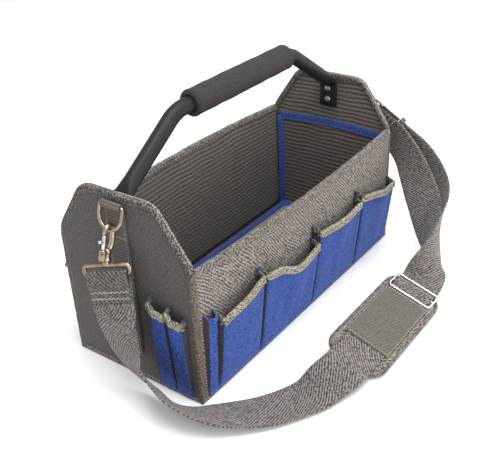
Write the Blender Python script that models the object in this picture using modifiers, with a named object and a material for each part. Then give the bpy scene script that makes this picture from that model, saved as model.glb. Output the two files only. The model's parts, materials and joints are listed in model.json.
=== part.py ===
"""Open tool tote: stiffened fabric body, padded tube handle and webbing shoulder strap.

Metres, +Z up. X runs along the bag, -Y is its pocketed front, and the origin is on the floor
under the middle of the bag.
"""

import math

import bmesh
import bpy
from mathutils import Matrix, Vector

# Driving dimensions of the body
LENGTH = 0.400
WIDTH = 0.176
WALL_HEIGHT = 0.158
GABLE_HEIGHT = 0.217
GABLE_TOP_WIDTH = 0.093
GAP = 0.0003

# Thicknesses of the layers, from the outside inwards
FABRIC = 0.0015
BOARD = 0.0020
LINING = 0.0010
EDGE_BINDING = 0.0080
INNER_TAPE = 0.012
TAPE = 0.0008

# Pockets: x of each front seam, depth at the mouth and height of the mouth
FRONT_SEAMS = (-0.191, -0.175, -0.102, 0.003, 0.103, 0.191)
REAR_SEAMS = (-0.191, -0.0955, 0.0, 0.0955, 0.191)
END_SEAMS = (-0.078, -0.056, -0.033)
POCKET_HEIGHT = 0.104
POCKET_DEPTH = 0.015
POCKET_FABRIC = 0.0014

# Handle
TUBE_RADIUS = 0.0085
GRIP_RADIUS = 0.0145
GRIP_LENGTH = 0.175
GRIP_X = 0.0055
HANDLE_HEIGHT = 0.2665
TONGUE_WIDTH = 0.025
TONGUE_THICKNESS = 0.0040
TONGUE_BOTTOM = 0.174
RIVET_HEIGHTS = (0.1825, 0.1970)
RIVET_RADIUS = 0.0020
RIVET_HEAD_RADIUS = 0.0044

# Strap and its metalwork
WEBBING = 0.0016
STRAP_WIDTH = 0.048
RING_WIRE = 0.0018
RING_HALF_WIDTH = 0.0148
RING_LEG = 0.0090
RING_HEIGHT = 0.207
ANCHOR_WIDTH = 0.025
ANCHOR_BOTTOM = 0.034
HOOK_WIRE = 0.0022
HOOK_BEND = 0.0055
HOOK_FOOT = 0.0460
EYE_WIRE = 0.0019
EYE_HALF_WIDTH = 0.0272
EYE_DEPTH = 0.0160
LOOP_LENGTH = 0.0285
RING_TILT = math.radians(17)
FAR_LEAN = math.radians(52)
NEAR_TWIST = math.radians(8)
NEAR_ROCK = math.radians(18)
NEAR_EYE_DEPTH = 0.0090

# Shoulder pad
PAD_LENGTH = 0.164
PAD_WIDTH = 0.068
PAD_THICKNESS = 0.0060
PANEL_LENGTH = 0.100
PANEL_WIDTH = 0.054
PAD_X = 0.004
PAD_Y = -0.1865
PAD_SLOPE = math.radians(18)
SLIDE_LENGTH = 0.026
SLIDE_WIDTH = 0.054
SLIDE_WIRE = 0.0014
SLIDE_PLACE = 0.0665


def clear_scene():
    for obj in list(bpy.data.objects):
        bpy.data.objects.remove(obj, do_unlink=True)


def new_collection(name):
    collection = bpy.data.collections.new(name)
    bpy.context.scene.collection.children.link(collection)
    return collection


def new_material(name, colour, roughness, metallic=0.0):
    material = bpy.data.materials.new(name)
    material.use_nodes = True
    shader = material.node_tree.nodes["Principled BSDF"]
    shader.inputs["Base Color"].default_value = (*colour, 1.0)
    shader.inputs["Roughness"].default_value = roughness
    shader.inputs["Metallic"].default_value = metallic
    return material


clear_scene()
PARTS = new_collection("garden_tool_bag")
CUTTERS = new_collection("cutters")
GREY_FABRIC = new_material("grey_fabric", (0.13, 0.12, 0.11), 0.9)
GREY_TRIM = new_material("grey_trim", (0.10, 0.09, 0.085), 0.9)
BLUE_FABRIC = new_material("blue_fabric", (0.04, 0.08, 0.35), 0.85)
BLUE_TAPE = new_material("blue_tape", (0.03, 0.08, 0.40), 0.8)
LINING_CLOTH = new_material("lining_cloth", (0.14, 0.13, 0.12), 0.9)
FLOOR_CLOTH = new_material("floor_cloth", (0.15, 0.16, 0.14), 0.9)
STIFF_BOARD = new_material("stiff_board", (0.05, 0.05, 0.05), 0.6)
TUBE_PAINT = new_material("tube_paint", (0.02, 0.02, 0.02), 0.35, 0.6)
GRIP_FOAM = new_material("grip_foam", (0.04, 0.035, 0.035), 0.95)
STEEL = new_material("steel", (0.6, 0.6, 0.6), 0.2, 1.0)
STRAP_WEBBING = new_material("strap_webbing", (0.16, 0.15, 0.14), 0.9)
PAD_CLOTH = new_material("pad_cloth", (0.13, 0.12, 0.115), 0.9)


def add_object(name, data, material=None, cutter=False, parent=None):
    """Link a mesh or curve as a named part, or as a hidden cutter."""
    obj = bpy.data.objects.new(name, data)
    (CUTTERS if cutter else PARTS).objects.link(obj)
    if cutter:
        obj.hide_render = True
        obj.display_type = "WIRE"
    if material:
        data.materials.append(material)
    if parent:
        obj.parent = parent
    return obj


def add_pivot(name, matrix, parent=None):
    pivot = bpy.data.objects.new(name, None)
    PARTS.objects.link(pivot)
    pivot.parent = parent
    pivot.matrix_local = matrix
    return pivot


def add_box(name, low, high, material=None, bevel=0.0, cutter=False, parent=None):
    low, high = Vector(low), Vector(high)
    mesh = bpy.data.meshes.new(name)
    bm = bmesh.new()
    bmesh.ops.create_cube(bm, size=1.0)
    bmesh.ops.scale(bm, vec=high - low, verts=bm.verts)
    bmesh.ops.translate(bm, vec=(low + high) / 2, verts=bm.verts)
    bm.to_mesh(mesh)
    bm.free()
    obj = add_object(name, mesh, material, cutter, parent)
    if bevel:
        rounding = obj.modifiers.new("rounding", "BEVEL")
        rounding.width = bevel
        rounding.segments = 2
    return obj


def add_cylinder(name, radius, start, end, material=None, cutter=False, parent=None, sides=16):
    start, end = Vector(start), Vector(end)
    axis = end - start
    turn = axis.to_track_quat("Z", "Y").to_matrix().to_4x4()
    mesh = bpy.data.meshes.new(name)
    bm = bmesh.new()
    bmesh.ops.create_cone(bm, cap_ends=True, segments=sides, radius1=radius, radius2=radius,
                          depth=axis.length, matrix=Matrix.Translation((start + end) / 2) @ turn)
    bm.to_mesh(mesh)
    bm.free()
    mesh.shade_smooth()
    mesh.set_sharp_from_angle(angle=math.radians(40))
    return add_object(name, mesh, material, cutter, parent)


def tube_mesh(name, points, radius, cyclic=False, resolution=2):
    """A round wire through the points, as a closed mesh."""
    curve = bpy.data.curves.new(name, "CURVE")
    curve.dimensions = "3D"
    curve.bevel_depth = radius
    curve.bevel_resolution = resolution
    curve.use_fill_caps = not cyclic
    spline = curve.splines.new("POLY")
    spline.points.add(len(points) - 1)
    for spot, point in zip(spline.points, points):
        spot.co = (*point, 1.0)
    spline.use_cyclic_u = cyclic
    helper = bpy.data.objects.new(name, curve)
    bpy.context.scene.collection.objects.link(helper)
    bpy.context.view_layer.update()
    evaluated = helper.evaluated_get(bpy.context.evaluated_depsgraph_get())
    mesh = bpy.data.meshes.new_from_object(evaluated)
    bpy.data.objects.remove(helper, do_unlink=True)
    bm = bmesh.new()
    bm.from_mesh(mesh)
    bmesh.ops.remove_doubles(bm, verts=bm.verts, dist=1e-6)
    bmesh.ops.recalc_face_normals(bm, faces=bm.faces)
    bm.to_mesh(mesh)
    bm.free()
    mesh.shade_smooth()
    mesh.set_sharp_from_angle(angle=math.radians(50))
    return mesh


def add_tube(name, points, radius, material=None, cyclic=False, cutter=False, parent=None,
             resolution=2):
    mesh = tube_mesh(name, points, radius, cyclic, resolution)
    mesh.materials.clear()
    return add_object(name, mesh, material, cutter, parent)


def add_outline(name, points, low, high, axes, material=None, parent=None):
    """A flat outline, filled and given the thickness from low to high along the third axis."""
    curve = bpy.data.curves.new(name, "CURVE")
    curve.dimensions = "2D"
    curve.fill_mode = "BOTH"
    curve.extrude = (high - low) / 2
    spline = curve.splines.new("POLY")
    spline.points.add(len(points) - 1)
    for spot, (a, b) in zip(spline.points, points):
        spot.co = (a, b, 0.0, 1.0)
    spline.use_cyclic_u = True
    helper = bpy.data.objects.new(name, curve)
    bpy.context.scene.collection.objects.link(helper)
    bpy.context.view_layer.update()
    evaluated = helper.evaluated_get(bpy.context.evaluated_depsgraph_get())
    mesh = bpy.data.meshes.new_from_object(evaluated)
    bpy.data.objects.remove(helper, do_unlink=True)
    first, second = Vector(axes[0]), Vector(axes[1])
    third = first.cross(second)
    frame = Matrix((first, second, third)).transposed().to_4x4()
    bm = bmesh.new()
    bm.from_mesh(mesh)
    bmesh.ops.remove_doubles(bm, verts=bm.verts, dist=1e-6)
    bmesh.ops.transform(bm, matrix=Matrix.Translation(third * (low + high) / 2) @ frame,
                        verts=bm.verts)
    bmesh.ops.recalc_face_normals(bm, faces=bm.faces)
    bm.to_mesh(mesh)
    bm.free()
    mesh.materials.clear()
    return add_object(name, mesh, material, parent=parent)


def combine(obj, other, operation):
    step = obj.modifiers.new(other.name, "BOOLEAN")
    step.operation = operation
    step.object = other
    step.solver = "EXACT"


def arc(centre, radius, start, end, steps):
    """Points of an arc in a plane, its angles in degrees."""
    angles = [math.radians(start + (end - start) * i / steps) for i in range(steps + 1)]
    return [(centre[0] + radius * math.cos(a), centre[1] + radius * math.sin(a)) for a in angles]


def gable_outline(inset):
    """Corner points of the gable, in y and z, from the front foot round to the back foot."""
    side = WIDTH / 2 - inset
    top = GABLE_HEIGHT - inset
    slope = math.atan2(GABLE_HEIGHT - WALL_HEIGHT, (WIDTH - GABLE_TOP_WIDTH) / 2)
    shoulder = WALL_HEIGHT - inset * math.tan((math.pi / 2 - slope) / 2)
    crown = GABLE_TOP_WIDTH / 2 - inset * math.tan(slope / 2)
    rounding = 0.25 * (side - crown)
    half = [(side, shoulder), (crown + rounding, top - rounding * math.tan(slope) * 0.8),
            (crown - rounding, top)]
    front = [(-y, z) for y, z in half]
    return front + list(reversed(half))


def gable_side(side):
    """-1 is the near gable, at -X, and 1 the far one."""
    return "near" if side < 0 else "far"


def rivet_holes(obj, side, radius):
    for number, height in enumerate(RIVET_HEIGHTS):
        hole = add_cylinder(f"{obj.name}_hole_{number}", radius,
                            (side * (LENGTH / 2 + 0.01), 0, height),
                            (side * (LENGTH / 2 - 0.03), 0, height), cutter=True)
        combine(obj, hole, "DIFFERENCE")


def make_base():
    inset = EDGE_BINDING + GAP
    add_box("base_fabric", (-LENGTH / 2, -WIDTH / 2, 0), (LENGTH / 2, WIDTH / 2, 0.002),
            GREY_FABRIC)
    reach_x = LENGTH / 2 - inset
    reach_y = WIDTH / 2 - inset
    add_box("base_board", (-reach_x, -reach_y, 0.002 + GAP), (reach_x, reach_y, 0.005), STIFF_BOARD)
    add_box("floor_lining", (-reach_x, -reach_y, 0.005 + GAP), (reach_x, reach_y, 0.0062),
            FLOOR_CLOTH)


WALL_FOOT = 0.002 + GAP
LINING_FOOT = 0.0062 + GAP


def wall_layers():
    """Name, material, outer distance from the outside and thickness of each layer of a wall."""
    board = FABRIC + GAP
    lining = board + BOARD + GAP
    return (("panel", GREY_FABRIC, 0.0, FABRIC), ("board", STIFF_BOARD, board, BOARD),
            ("lining", LINING_CLOTH, lining, LINING))


LINING_DEPTH = FABRIC + BOARD + LINING + 2 * GAP


def make_long_wall(side, name):
    """One long wall: outer panel, stiffener board, lining and the bound top edge."""
    reach = LENGTH / 2 - EDGE_BINDING - GAP
    top = WALL_HEIGHT - EDGE_BINDING - GAP
    for layer, material, depth, thickness in wall_layers():
        outer = side * (WIDTH / 2 - depth)
        inner = side * (WIDTH / 2 - depth - thickness)
        low = WALL_FOOT if layer == "panel" else LINING_FOOT
        add_box(f"{name}_{layer}", (-reach, min(outer, inner), low),
                (reach, max(outer, inner), top), material)
    centre = side * (WIDTH / 2 - LINING_DEPTH / 2)
    add_box(f"{name}_top_binding", (-reach, centre - 0.0032, top + GAP),
            (reach, centre + 0.0032, WALL_HEIGHT), GREY_TRIM, bevel=0.002)


def make_gable(side):
    """One end: outer panel, board and lining, all cut to the same outline, and its binding."""
    name = gable_side(side)
    inset = EDGE_BINDING + GAP
    outline = gable_outline(inset)
    for layer, material, depth, thickness in wall_layers():
        low = WALL_FOOT if layer == "panel" else LINING_FOOT
        points = [(outline[0][0], low), *outline, (outline[-1][0], low)]
        outer = side * (LENGTH / 2 - depth)
        inner = side * (LENGTH / 2 - depth - thickness)
        obj = add_outline(f"{name}_gable_{layer}", points, min(outer, inner), max(outer, inner),
                          ((0, 1, 0), (0, 0, 1)), material)
        if layer != "panel":
            rivet_holes(obj, side, RIVET_RADIUS + GAP)
        if layer == "board":
            make_set_head_seats(obj, side)
    half = EDGE_BINDING / 2
    path = gable_outline(half)
    foot = WALL_FOOT + 0.0005
    path = [(path[0][0], foot), *path, (path[-1][0], foot)]
    x = side * (LENGTH / 2 - half)
    add_tube(f"{name}_gable_binding", [(x, y, z) for y, z in path], half, GREY_TRIM)


def make_set_head_seats(board, side):
    """Shallow seats in the board for the closed heads of the rivets."""
    face = LENGTH / 2 - FABRIC - GAP
    for number, height in enumerate(RIVET_HEIGHTS):
        seat = add_cylinder(f"{board.name}_seat_{number}", RIVET_HEAD_RADIUS + GAP,
                            (side * (face + 0.001), 0, height),
                            (side * (face - 0.0010 - GAP), 0, height), cutter=True)
        combine(board, seat, "DIFFERENCE")


def make_inner_tape(side):
    """Blue tape on a gable's lining: across it at wall height, down both corners, along the floor."""
    name = f"{gable_side(side)}_inner_tape"
    face = side * (LENGTH / 2 - LINING_DEPTH - GAP)
    back = side * (LENGTH / 2 - LINING_DEPTH - GAP - TAPE)
    reach = WIDTH / 2 - EDGE_BINDING - GAP
    low, high = LINING_FOOT, WALL_HEIGHT - 0.006
    tape = add_box(name, (min(face, back), -reach, low), (max(face, back), reach, high), BLUE_TAPE)
    window = add_box(f"{name}_window", (min(face, back) - 0.01, -reach + INNER_TAPE, low + 0.010),
                     (max(face, back) + 0.01, reach - INNER_TAPE, high - INNER_TAPE), cutter=True)
    combine(tape, window, "DIFFERENCE")


def make_floor_tape(side, name):
    """Blue tape along the foot of a long wall, inside."""
    face = WIDTH / 2 - max(LINING_DEPTH, EDGE_BINDING) - GAP
    reach = LENGTH / 2 - EDGE_BINDING - 2 * GAP - TAPE
    ends = (side * face, side * (face - 0.010))
    add_box(name, (-reach, min(ends), LINING_FOOT), (reach, max(ends), LINING_FOOT + TAPE), BLUE_TAPE)


def make_pocket(name, start, end, depth, height, place):
    """A bellied pocket sheet between two seams, open at the top.

    place puts a point from seam distance, distance off the wall and height into the bag's frame.
    """
    mesh = bpy.data.meshes.new(name)
    bm = bmesh.new()
    bmesh.ops.create_grid(bm, x_segments=10, y_segments=5, size=0.5)
    foot = WALL_FOOT + 0.001
    for vert in bm.verts:
        along = vert.co.x + 0.5
        up = vert.co.y + 0.5
        belly = (1 - (2 * along - 1) ** 2) ** 0.6
        droop = 0.006 * math.sin(math.pi * along)
        off = GAP + POCKET_FABRIC / 2 + depth * belly * (0.18 + 0.82 * up ** 0.8)
        vert.co = place(start + (end - start) * along, off, foot + (height - droop - foot) * up)
    bmesh.ops.recalc_face_normals(bm, faces=bm.faces)
    bm.to_mesh(mesh)
    bm.free()
    pocket = add_object(name, mesh, BLUE_FABRIC)
    wall = pocket.modifiers.new("cloth", "SOLIDIFY")
    wall.thickness = POCKET_FABRIC
    wall.offset = 0.0
    return pocket


def make_pockets():
    trim = 0.0009
    for number, (start, end) in enumerate(zip(FRONT_SEAMS, FRONT_SEAMS[1:]), 1):
        depth = POCKET_DEPTH if end - start > 0.05 else 0.0085
        make_pocket(f"front_pocket_{number}", start + trim, end - trim, depth, POCKET_HEIGHT,
                    lambda a, off, z: (a, -WIDTH / 2 - off, z))
    for number, (start, end) in enumerate(zip(REAR_SEAMS, REAR_SEAMS[1:]), 1):
        make_pocket(f"rear_pocket_{number}", start + trim, end - trim, POCKET_DEPTH, POCKET_HEIGHT,
                    lambda a, off, z: (a, WIDTH / 2 + off, z))
    for side in (-1, 1):
        for number, (start, end) in enumerate(zip(END_SEAMS, END_SEAMS[1:]), 1):
            make_pocket(f"{gable_side(side)}_end_pocket_{number}", start + trim, end - trim, 0.0095,
                        POCKET_HEIGHT + 0.006,
                        lambda a, off, z, s=side: (s * (LENGTH / 2 + off), a, z))


def handle_stations():
    """Centre, half width in y and half thickness of the tube, from one end to its middle."""
    tongue_x = LENGTH / 2 - LINING_DEPTH - 2 * GAP - TONGUE_THICKNESS / 2
    flat = (TONGUE_WIDTH / 2, TONGUE_THICKNESS / 2)
    full = (TUBE_RADIUS, TUBE_RADIUS)
    stations = [((tongue_x, TONGUE_BOTTOM), flat), ((tongue_x, 0.2020), flat)]
    stations.append(((tongue_x - 0.0016, 0.2060), (0.0120, 0.0026)))
    stations.append(((tongue_x - 0.0055, 0.2105), (0.0110, 0.0045)))
    stations.append(((tongue_x - 0.0115, 0.2150), (0.0098, 0.0066)))
    stations.append(((tongue_x - 0.0200, 0.2203), full))
    bend_start = Vector((0.112, 0.2605))
    bend_end = Vector((0.090, HANDLE_HEIGHT))
    knee = Vector((0.1016, HANDLE_HEIGHT))
    for step in range(6):
        t = step / 5
        spot = bend_start * (1 - t) ** 2 + knee * 2 * t * (1 - t) + bend_end * t ** 2
        stations.append(((spot.x, spot.y), full))
    return stations


def make_handle():
    """Bent tube whose ends are pressed flat and stand against the gable linings."""
    half = handle_stations()
    stations = [((-x, z), size) for (x, z), size in half] + [s for s in reversed(half)]
    centres = [Vector((x, 0, z)) for (x, z), _ in stations]
    sides = 20
    mesh = bpy.data.meshes.new("handle_tube")
    bm = bmesh.new()
    rings = []
    for number, (centre, (_, (wide, thick))) in enumerate(zip(centres, stations)):
        before = centres[max(number - 1, 0)]
        after = centres[min(number + 1, len(centres) - 1)]
        along = (after - before).normalized()
        out = along.cross(Vector((0, 1, 0)))
        squareness = 1.0 if wide == thick else 0.55
        ring = []
        for side in range(sides):
            angle = 2 * math.pi * side / sides
            c, s = math.cos(angle), math.sin(angle)
            y = wide * math.copysign(abs(c) ** squareness, c)
            t = thick * math.copysign(abs(s) ** squareness, s)
            ring.append(bm.verts.new(centre + Vector((0, 1, 0)) * y + out * t))
        rings.append(ring)
    for ring, following in zip(rings, rings[1:]):
        for side in range(sides):
            after = (side + 1) % sides
            bm.faces.new((ring[side], ring[after], following[after], following[side]))
    bm.faces.new(rings[0])
    bm.faces.new(rings[-1])
    bmesh.ops.recalc_face_normals(bm, faces=bm.faces)
    bm.to_mesh(mesh)
    bm.free()
    mesh.shade_smooth()
    mesh.set_sharp_from_angle(angle=math.radians(50))
    tube = add_object("handle_tube", mesh, TUBE_PAINT)
    for side in (-1, 1):
        for number, height in enumerate(RIVET_HEIGHTS):
            hole = add_cylinder(f"tongue_hole_{gable_side(side)}_{number}", RIVET_RADIUS + GAP,
                                (side * (LENGTH / 2), 0, height),
                                (side * (LENGTH / 2 - 0.02), 0, height), cutter=True)
            combine(tube, hole, "DIFFERENCE")


def turned(name, profile, material, matrix, cutter=False):
    """A turned piece about its own Z axis; the profile runs from one end of the axis to the other."""
    mesh = bpy.data.meshes.new(name)
    bm = bmesh.new()
    verts = [bm.verts.new((radius, 0, height)) for radius, height in profile]
    for first, second in zip(verts, verts[1:]):
        bm.edges.new((first, second))
    if profile[0][0] > 0:
        bm.edges.new((verts[-1], verts[0]))
    bmesh.ops.spin(bm, geom=bm.verts[:] + bm.edges[:], cent=(0, 0, 0), axis=(0, 0, 1),
                   angle=math.tau, steps=24, use_merge=True)
    bmesh.ops.remove_doubles(bm, verts=bm.verts, dist=1e-6)
    bmesh.ops.recalc_face_normals(bm, faces=bm.faces)
    bm.to_mesh(mesh)
    bm.free()
    mesh.shade_smooth()
    mesh.set_sharp_from_angle(angle=math.radians(40))
    obj = add_object(name, mesh, material, cutter)
    obj.matrix_world = matrix
    return obj


def make_grip():
    rounding = 0.003
    inner = TUBE_RADIUS + GAP
    half = GRIP_LENGTH / 2
    profile = [(inner, -half), (GRIP_RADIUS - rounding, -half), (GRIP_RADIUS, -half + rounding),
               (GRIP_RADIUS, half - rounding), (GRIP_RADIUS - rounding, half), (inner, half)]
    lay = Matrix.Translation((GRIP_X, 0, HANDLE_HEIGHT)) @ Matrix.Rotation(math.pi / 2, 4, "Y")
    turned("foam_grip", profile, GRIP_FOAM, lay)


def make_rivets():
    """Domed rivets through tongue, lining and board; the closed head is sunk in the board."""
    tongue_face = LENGTH / 2 - LINING_DEPTH - 2 * GAP - TONGUE_THICKNESS
    seat = LENGTH / 2 - FABRIC - GAP
    length = seat - tongue_face
    head = 0.0010
    profile = [(0, -0.0024), (0.0022, -0.0021), (0.0038, -0.0012), (RIVET_HEAD_RADIUS, -GAP),
               (RIVET_RADIUS, -GAP), (RIVET_RADIUS, length - head),
               (RIVET_HEAD_RADIUS, length - head), (RIVET_HEAD_RADIUS, length), (0, length)]
    for side in (-1, 1):
        for place, height in zip(("lower", "upper"), RIVET_HEIGHTS):
            lay = Matrix.Translation((side * tongue_face, 0, height))
            lay = lay @ Matrix.Rotation(side * math.pi / 2, 4, "Y")
            turned(f"{gable_side(side)}_{place}_rivet", profile, STEEL, lay)


RING_X = LENGTH / 2 + GAP + RING_WIRE + GAP + WEBBING + GAP


def make_anchor(side):
    """Webbing sewn down the outside of the gable, its top end looped round the ring's bar."""
    name = f"{gable_side(side)}_ring_anchor"
    inner, outer = LENGTH / 2 + GAP, LENGTH / 2 + GAP + WEBBING
    ends = (side * inner, side * outer)
    half = ANCHOR_WIDTH / 2
    anchor = add_box(name, (min(ends), -half, ANCHOR_BOTTOM), (max(ends), half, RING_HEIGHT),
                     STRAP_WEBBING)
    bar = Vector((side * RING_X, 0, RING_HEIGHT))
    reach = Vector((0, half, 0))
    bore = RING_WIRE + GAP
    roll = add_cylinder(f"{name}_roll", bore + WEBBING, bar - reach, bar + reach, cutter=True)
    combine(anchor, roll, "UNION")
    hole = add_cylinder(f"{name}_bore", bore, bar - 2 * reach, bar + 2 * reach, cutter=True)
    combine(anchor, hole, "DIFFERENCE")


def make_ring(name, pivot):
    """D-ring: straight bar on the pivot, two legs and a round end, in the pivot's YZ plane."""
    half = RING_HALF_WIDTH
    corner = RING_HALF_WIDTH - ANCHOR_WIDTH / 2
    points = arc((half - corner, -corner), corner, 90, 0, 4)
    points += [(y, z - RING_LEG) for y, z in arc((0, 0), half, 0, -180, 16)]
    points += arc((-half + corner, -corner), corner, 180, 90, 4)
    add_tube(name, [(0, y, z) for y, z in points], RING_WIRE, STEEL, cyclic=True, parent=pivot)


def make_hook(name, chain):
    """Hook, hanging from the ring's round end down the chain's -Z: barrel, bent neck and bolt lug."""
    foot = -HOOK_FOOT
    bend = HOOK_BEND
    neck = [(-0.0025, foot + 0.008), (-0.0038, foot + 0.013), (-bend, foot + 0.0175)]
    neck += [(x, z) for x, z in arc((0, foot + 0.030), bend, 180, 0, 12)]
    neck.append((bend, foot + 0.0268))
    hook = add_tube(name, [(x, 0, z) for x, z in neck], HOOK_WIRE, STEEL, parent=chain)
    barrel = add_cylinder(f"{name}_barrel", 0.0042, (0, 0, foot), (0, 0, foot + 0.0125),
                          cutter=True, parent=chain)
    lug = add_cylinder(f"{name}_lug", 0.0036, (bend, 0, foot + 0.0012), (bend, 0, foot + 0.012),
                       cutter=True, parent=chain)
    combine(hook, barrel, "UNION")
    combine(hook, lug, "UNION")
    bore = add_cylinder(f"{name}_bore", 0.0021, (bend, 0, foot - 0.01), (bend, 0, foot + 0.020),
                        cutter=True, parent=chain)
    post = add_cylinder(f"{name}_post_bore", 0.0019, (0, 0, foot - 0.01), (0, 0, foot + 0.0062),
                        cutter=True, parent=chain)
    combine(hook, bore, "DIFFERENCE")
    combine(hook, post, "DIFFERENCE")


def make_trigger(name, chain):
    """Sprung bolt that closes the hook's mouth, with a thumb pin."""
    foot = -HOOK_FOOT
    bolt = add_cylinder(name, 0.0017, (HOOK_BEND, 0, foot + 0.0072),
                        (HOOK_BEND, 0, foot + 0.0268 - GAP), STEEL, parent=chain)
    pin = add_cylinder(f"{name}_pin", 0.0014, (HOOK_BEND, 0, foot + 0.0205),
                       (HOOK_BEND + 0.0065, 0, foot + 0.0205), cutter=True, parent=chain)
    combine(bolt, pin, "UNION")


EYE_TOP = -HOOK_FOOT - 0.0045
EYE_BAR = EYE_TOP - EYE_DEPTH


def make_eye(name, eye, chain, depth):
    """Swivel eye: wide wire loop of this depth under the hook, and the collar and post it turns on."""
    bar = EYE_TOP - depth
    half, corner = EYE_HALF_WIDTH, min(0.005, depth * 0.42)
    points = arc((half - corner, EYE_TOP - corner), corner, 90, 0, 4)
    points += arc((half - corner, bar + corner), corner, 0, -90, 4)
    points += arc((-half + corner, bar + corner), corner, 270, 180, 4)
    points += arc((-half + corner, EYE_TOP - corner), corner, 180, 90, 4)
    loop = add_tube(name, [(0, y, z) for y, z in points], EYE_WIRE, STEEL, cyclic=True, parent=eye)
    collar = add_cylinder(f"{name}_collar", 0.0033, (0, 0, EYE_TOP - 0.001),
                          (0, 0, -HOOK_FOOT - GAP), cutter=True, parent=chain)
    post = add_cylinder(f"{name}_post", 0.0016, (0, 0, EYE_TOP), (0, 0, -HOOK_FOOT + 0.0056),
                        cutter=True, parent=chain)
    combine(loop, collar, "UNION")
    combine(loop, post, "UNION")


STRAND_SPREAD = EYE_WIRE + GAP + WEBBING / 2


def make_strap_loop(name, eye, end_spread):
    """Webbing turned round the eye's bar, its two legs end_spread off the middle at their ends."""
    outer = EYE_WIRE + 2 * GAP + WEBBING
    inner = EYE_WIRE + 2 * GAP
    end = EYE_BAR - LOOP_LENGTH
    half = WEBBING / 2
    points = [(-end_spread - half, end), (-outer, EYE_BAR - 0.008)]
    points += arc((0, EYE_BAR), outer, 180, 0, 10)
    points += [(outer, EYE_BAR - 0.008), (end_spread + half, end), (end_spread - half, end)]
    if end_spread - half > GAP:
        points += [(inner, EYE_BAR - 0.008)]
        points += arc((0, EYE_BAR), inner, 0, 180, 8)
        points += [(-inner, EYE_BAR - 0.008), (-end_spread + half, end)]
    else:
        points[-1] = (0.0002, end)
        points += [(0.0002, EYE_BAR - 0.010), (inner, EYE_BAR - 0.006)]
        points += arc((0, EYE_BAR), inner, 0, 180, 8)
        points += [(-inner, EYE_BAR - 0.006), (-0.0002, EYE_BAR - 0.010), (-0.0002, end)]
    width = STRAP_WIDTH / 2
    add_outline(name, points, -width, width, ((1, 0, 0), (0, 0, 1)), STRAP_WEBBING, parent=eye)


def make_link(side, lean, twist, rock, depth):
    """Ring, hook, bolt, eye and strap loop of one end. Returns the strap loop's frame."""
    name = gable_side(side)
    make_anchor(side)
    facing = Matrix.Rotation(0 if side > 0 else math.pi, 4, "Z")
    hinge = Matrix.Translation((side * RING_X, 0, RING_HEIGHT)) @ facing
    hinge = hinge @ Matrix.Rotation(-RING_TILT, 4, "Y")
    ring_pivot = add_pivot(f"{name}_ring_pivot", hinge)
    swing = Matrix.Translation((0, 0, -RING_LEG)) @ Matrix.Rotation(-lean, 4, "X")
    chain = add_pivot(f"{name}_chain", swing, ring_pivot)
    turn = Matrix.Translation((0, 0, EYE_TOP)) @ Matrix.Rotation(twist, 4, "Z")
    turn = turn @ Matrix.Rotation(rock, 4, "X") @ Matrix.Translation((0, 0, -EYE_TOP))
    raised = Matrix.Translation((0, 0, EYE_DEPTH - depth))
    eye = add_pivot(f"{name}_eye_pivot", turn, chain)
    fold = add_pivot(f"{name}_fold_pivot", raised, eye)
    make_ring(f"{name}_d_ring", ring_pivot)
    make_hook(f"{name}_snap_hook", chain)
    make_trigger(f"{name}_hook_trigger", chain)
    make_eye(f"{name}_swivel_eye", eye, chain, depth)
    make_strap_loop(f"{name}_strap_loop", fold, WEBBING / 2 + 0.0002 if side < 0 else STRAND_SPREAD)
    return hinge @ swing @ turn @ raised


def smooth(points, steps):
    """Catmull-Rom curve through the points."""
    padded = [points[0] * 2 - points[1], *points, points[-1] * 2 - points[-2]]
    out = []
    for p, q, r, s in zip(padded, padded[1:], padded[2:], padded[3:]):
        for step in range(steps):
            t = step / steps
            out.append(0.5 * (2 * q + (r - p) * t + (2 * p - 5 * q + 4 * r - s) * t ** 2
                              + (3 * q - p - 3 * r + s) * t ** 3))
    return out + [points[-1]]


def make_strand(name, route, steps=3):
    """Flat webbing along a route of centres and directions from its inner to its outer edge."""
    centres = smooth([Vector(centre) for centre, _ in route], steps)
    acrosses = smooth([Vector(across) for _, across in route], steps)
    mesh = bpy.data.meshes.new(name)
    bm = bmesh.new()
    pairs = []
    for number, (centre, across) in enumerate(zip(centres, acrosses)):
        along = centres[min(number + 1, len(centres) - 1)] - centres[max(number - 1, 0)]
        along.normalize()
        across = (across - along * across.dot(along)).normalized() * STRAP_WIDTH / 2
        pairs.append([bm.verts.new(centre - across), bm.verts.new(centre),
                      bm.verts.new(centre + across)])
    for first, second in zip(pairs, pairs[1:]):
        for k in range(2):
            bm.faces.new((first[k], first[k + 1], second[k + 1], second[k]))
    bmesh.ops.recalc_face_normals(bm, faces=bm.faces)
    bm.to_mesh(mesh)
    bm.free()
    strand = add_object(name, mesh, STRAP_WEBBING)
    wall = strand.modifiers.new("webbing", "SOLIDIFY")
    wall.thickness = WEBBING
    wall.offset = 0.0
    return strand


def pad_frame():
    """Frame of the shoulder pad: x along it, y across towards the bag, z up off its sole."""
    lift = PAD_WIDTH / 2 * math.sin(PAD_SLOPE) + 0.0003
    return Matrix.Translation((PAD_X, PAD_Y, lift)) @ Matrix.Rotation(PAD_SLOPE, 4, "X")


STRAP_LAYER = PAD_THICKNESS + GAP + WEBBING / 2


def rounded_oblong(length, width, radius, steps=5):
    x, y = length / 2 - radius, width / 2 - radius
    points = []
    for cx, cy, start in ((x, y, 0), (-x, y, 90), (-x, -y, 180), (x, -y, 270)):
        points += arc((cx, cy), radius, start, start + 90, steps)
    return points


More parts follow.
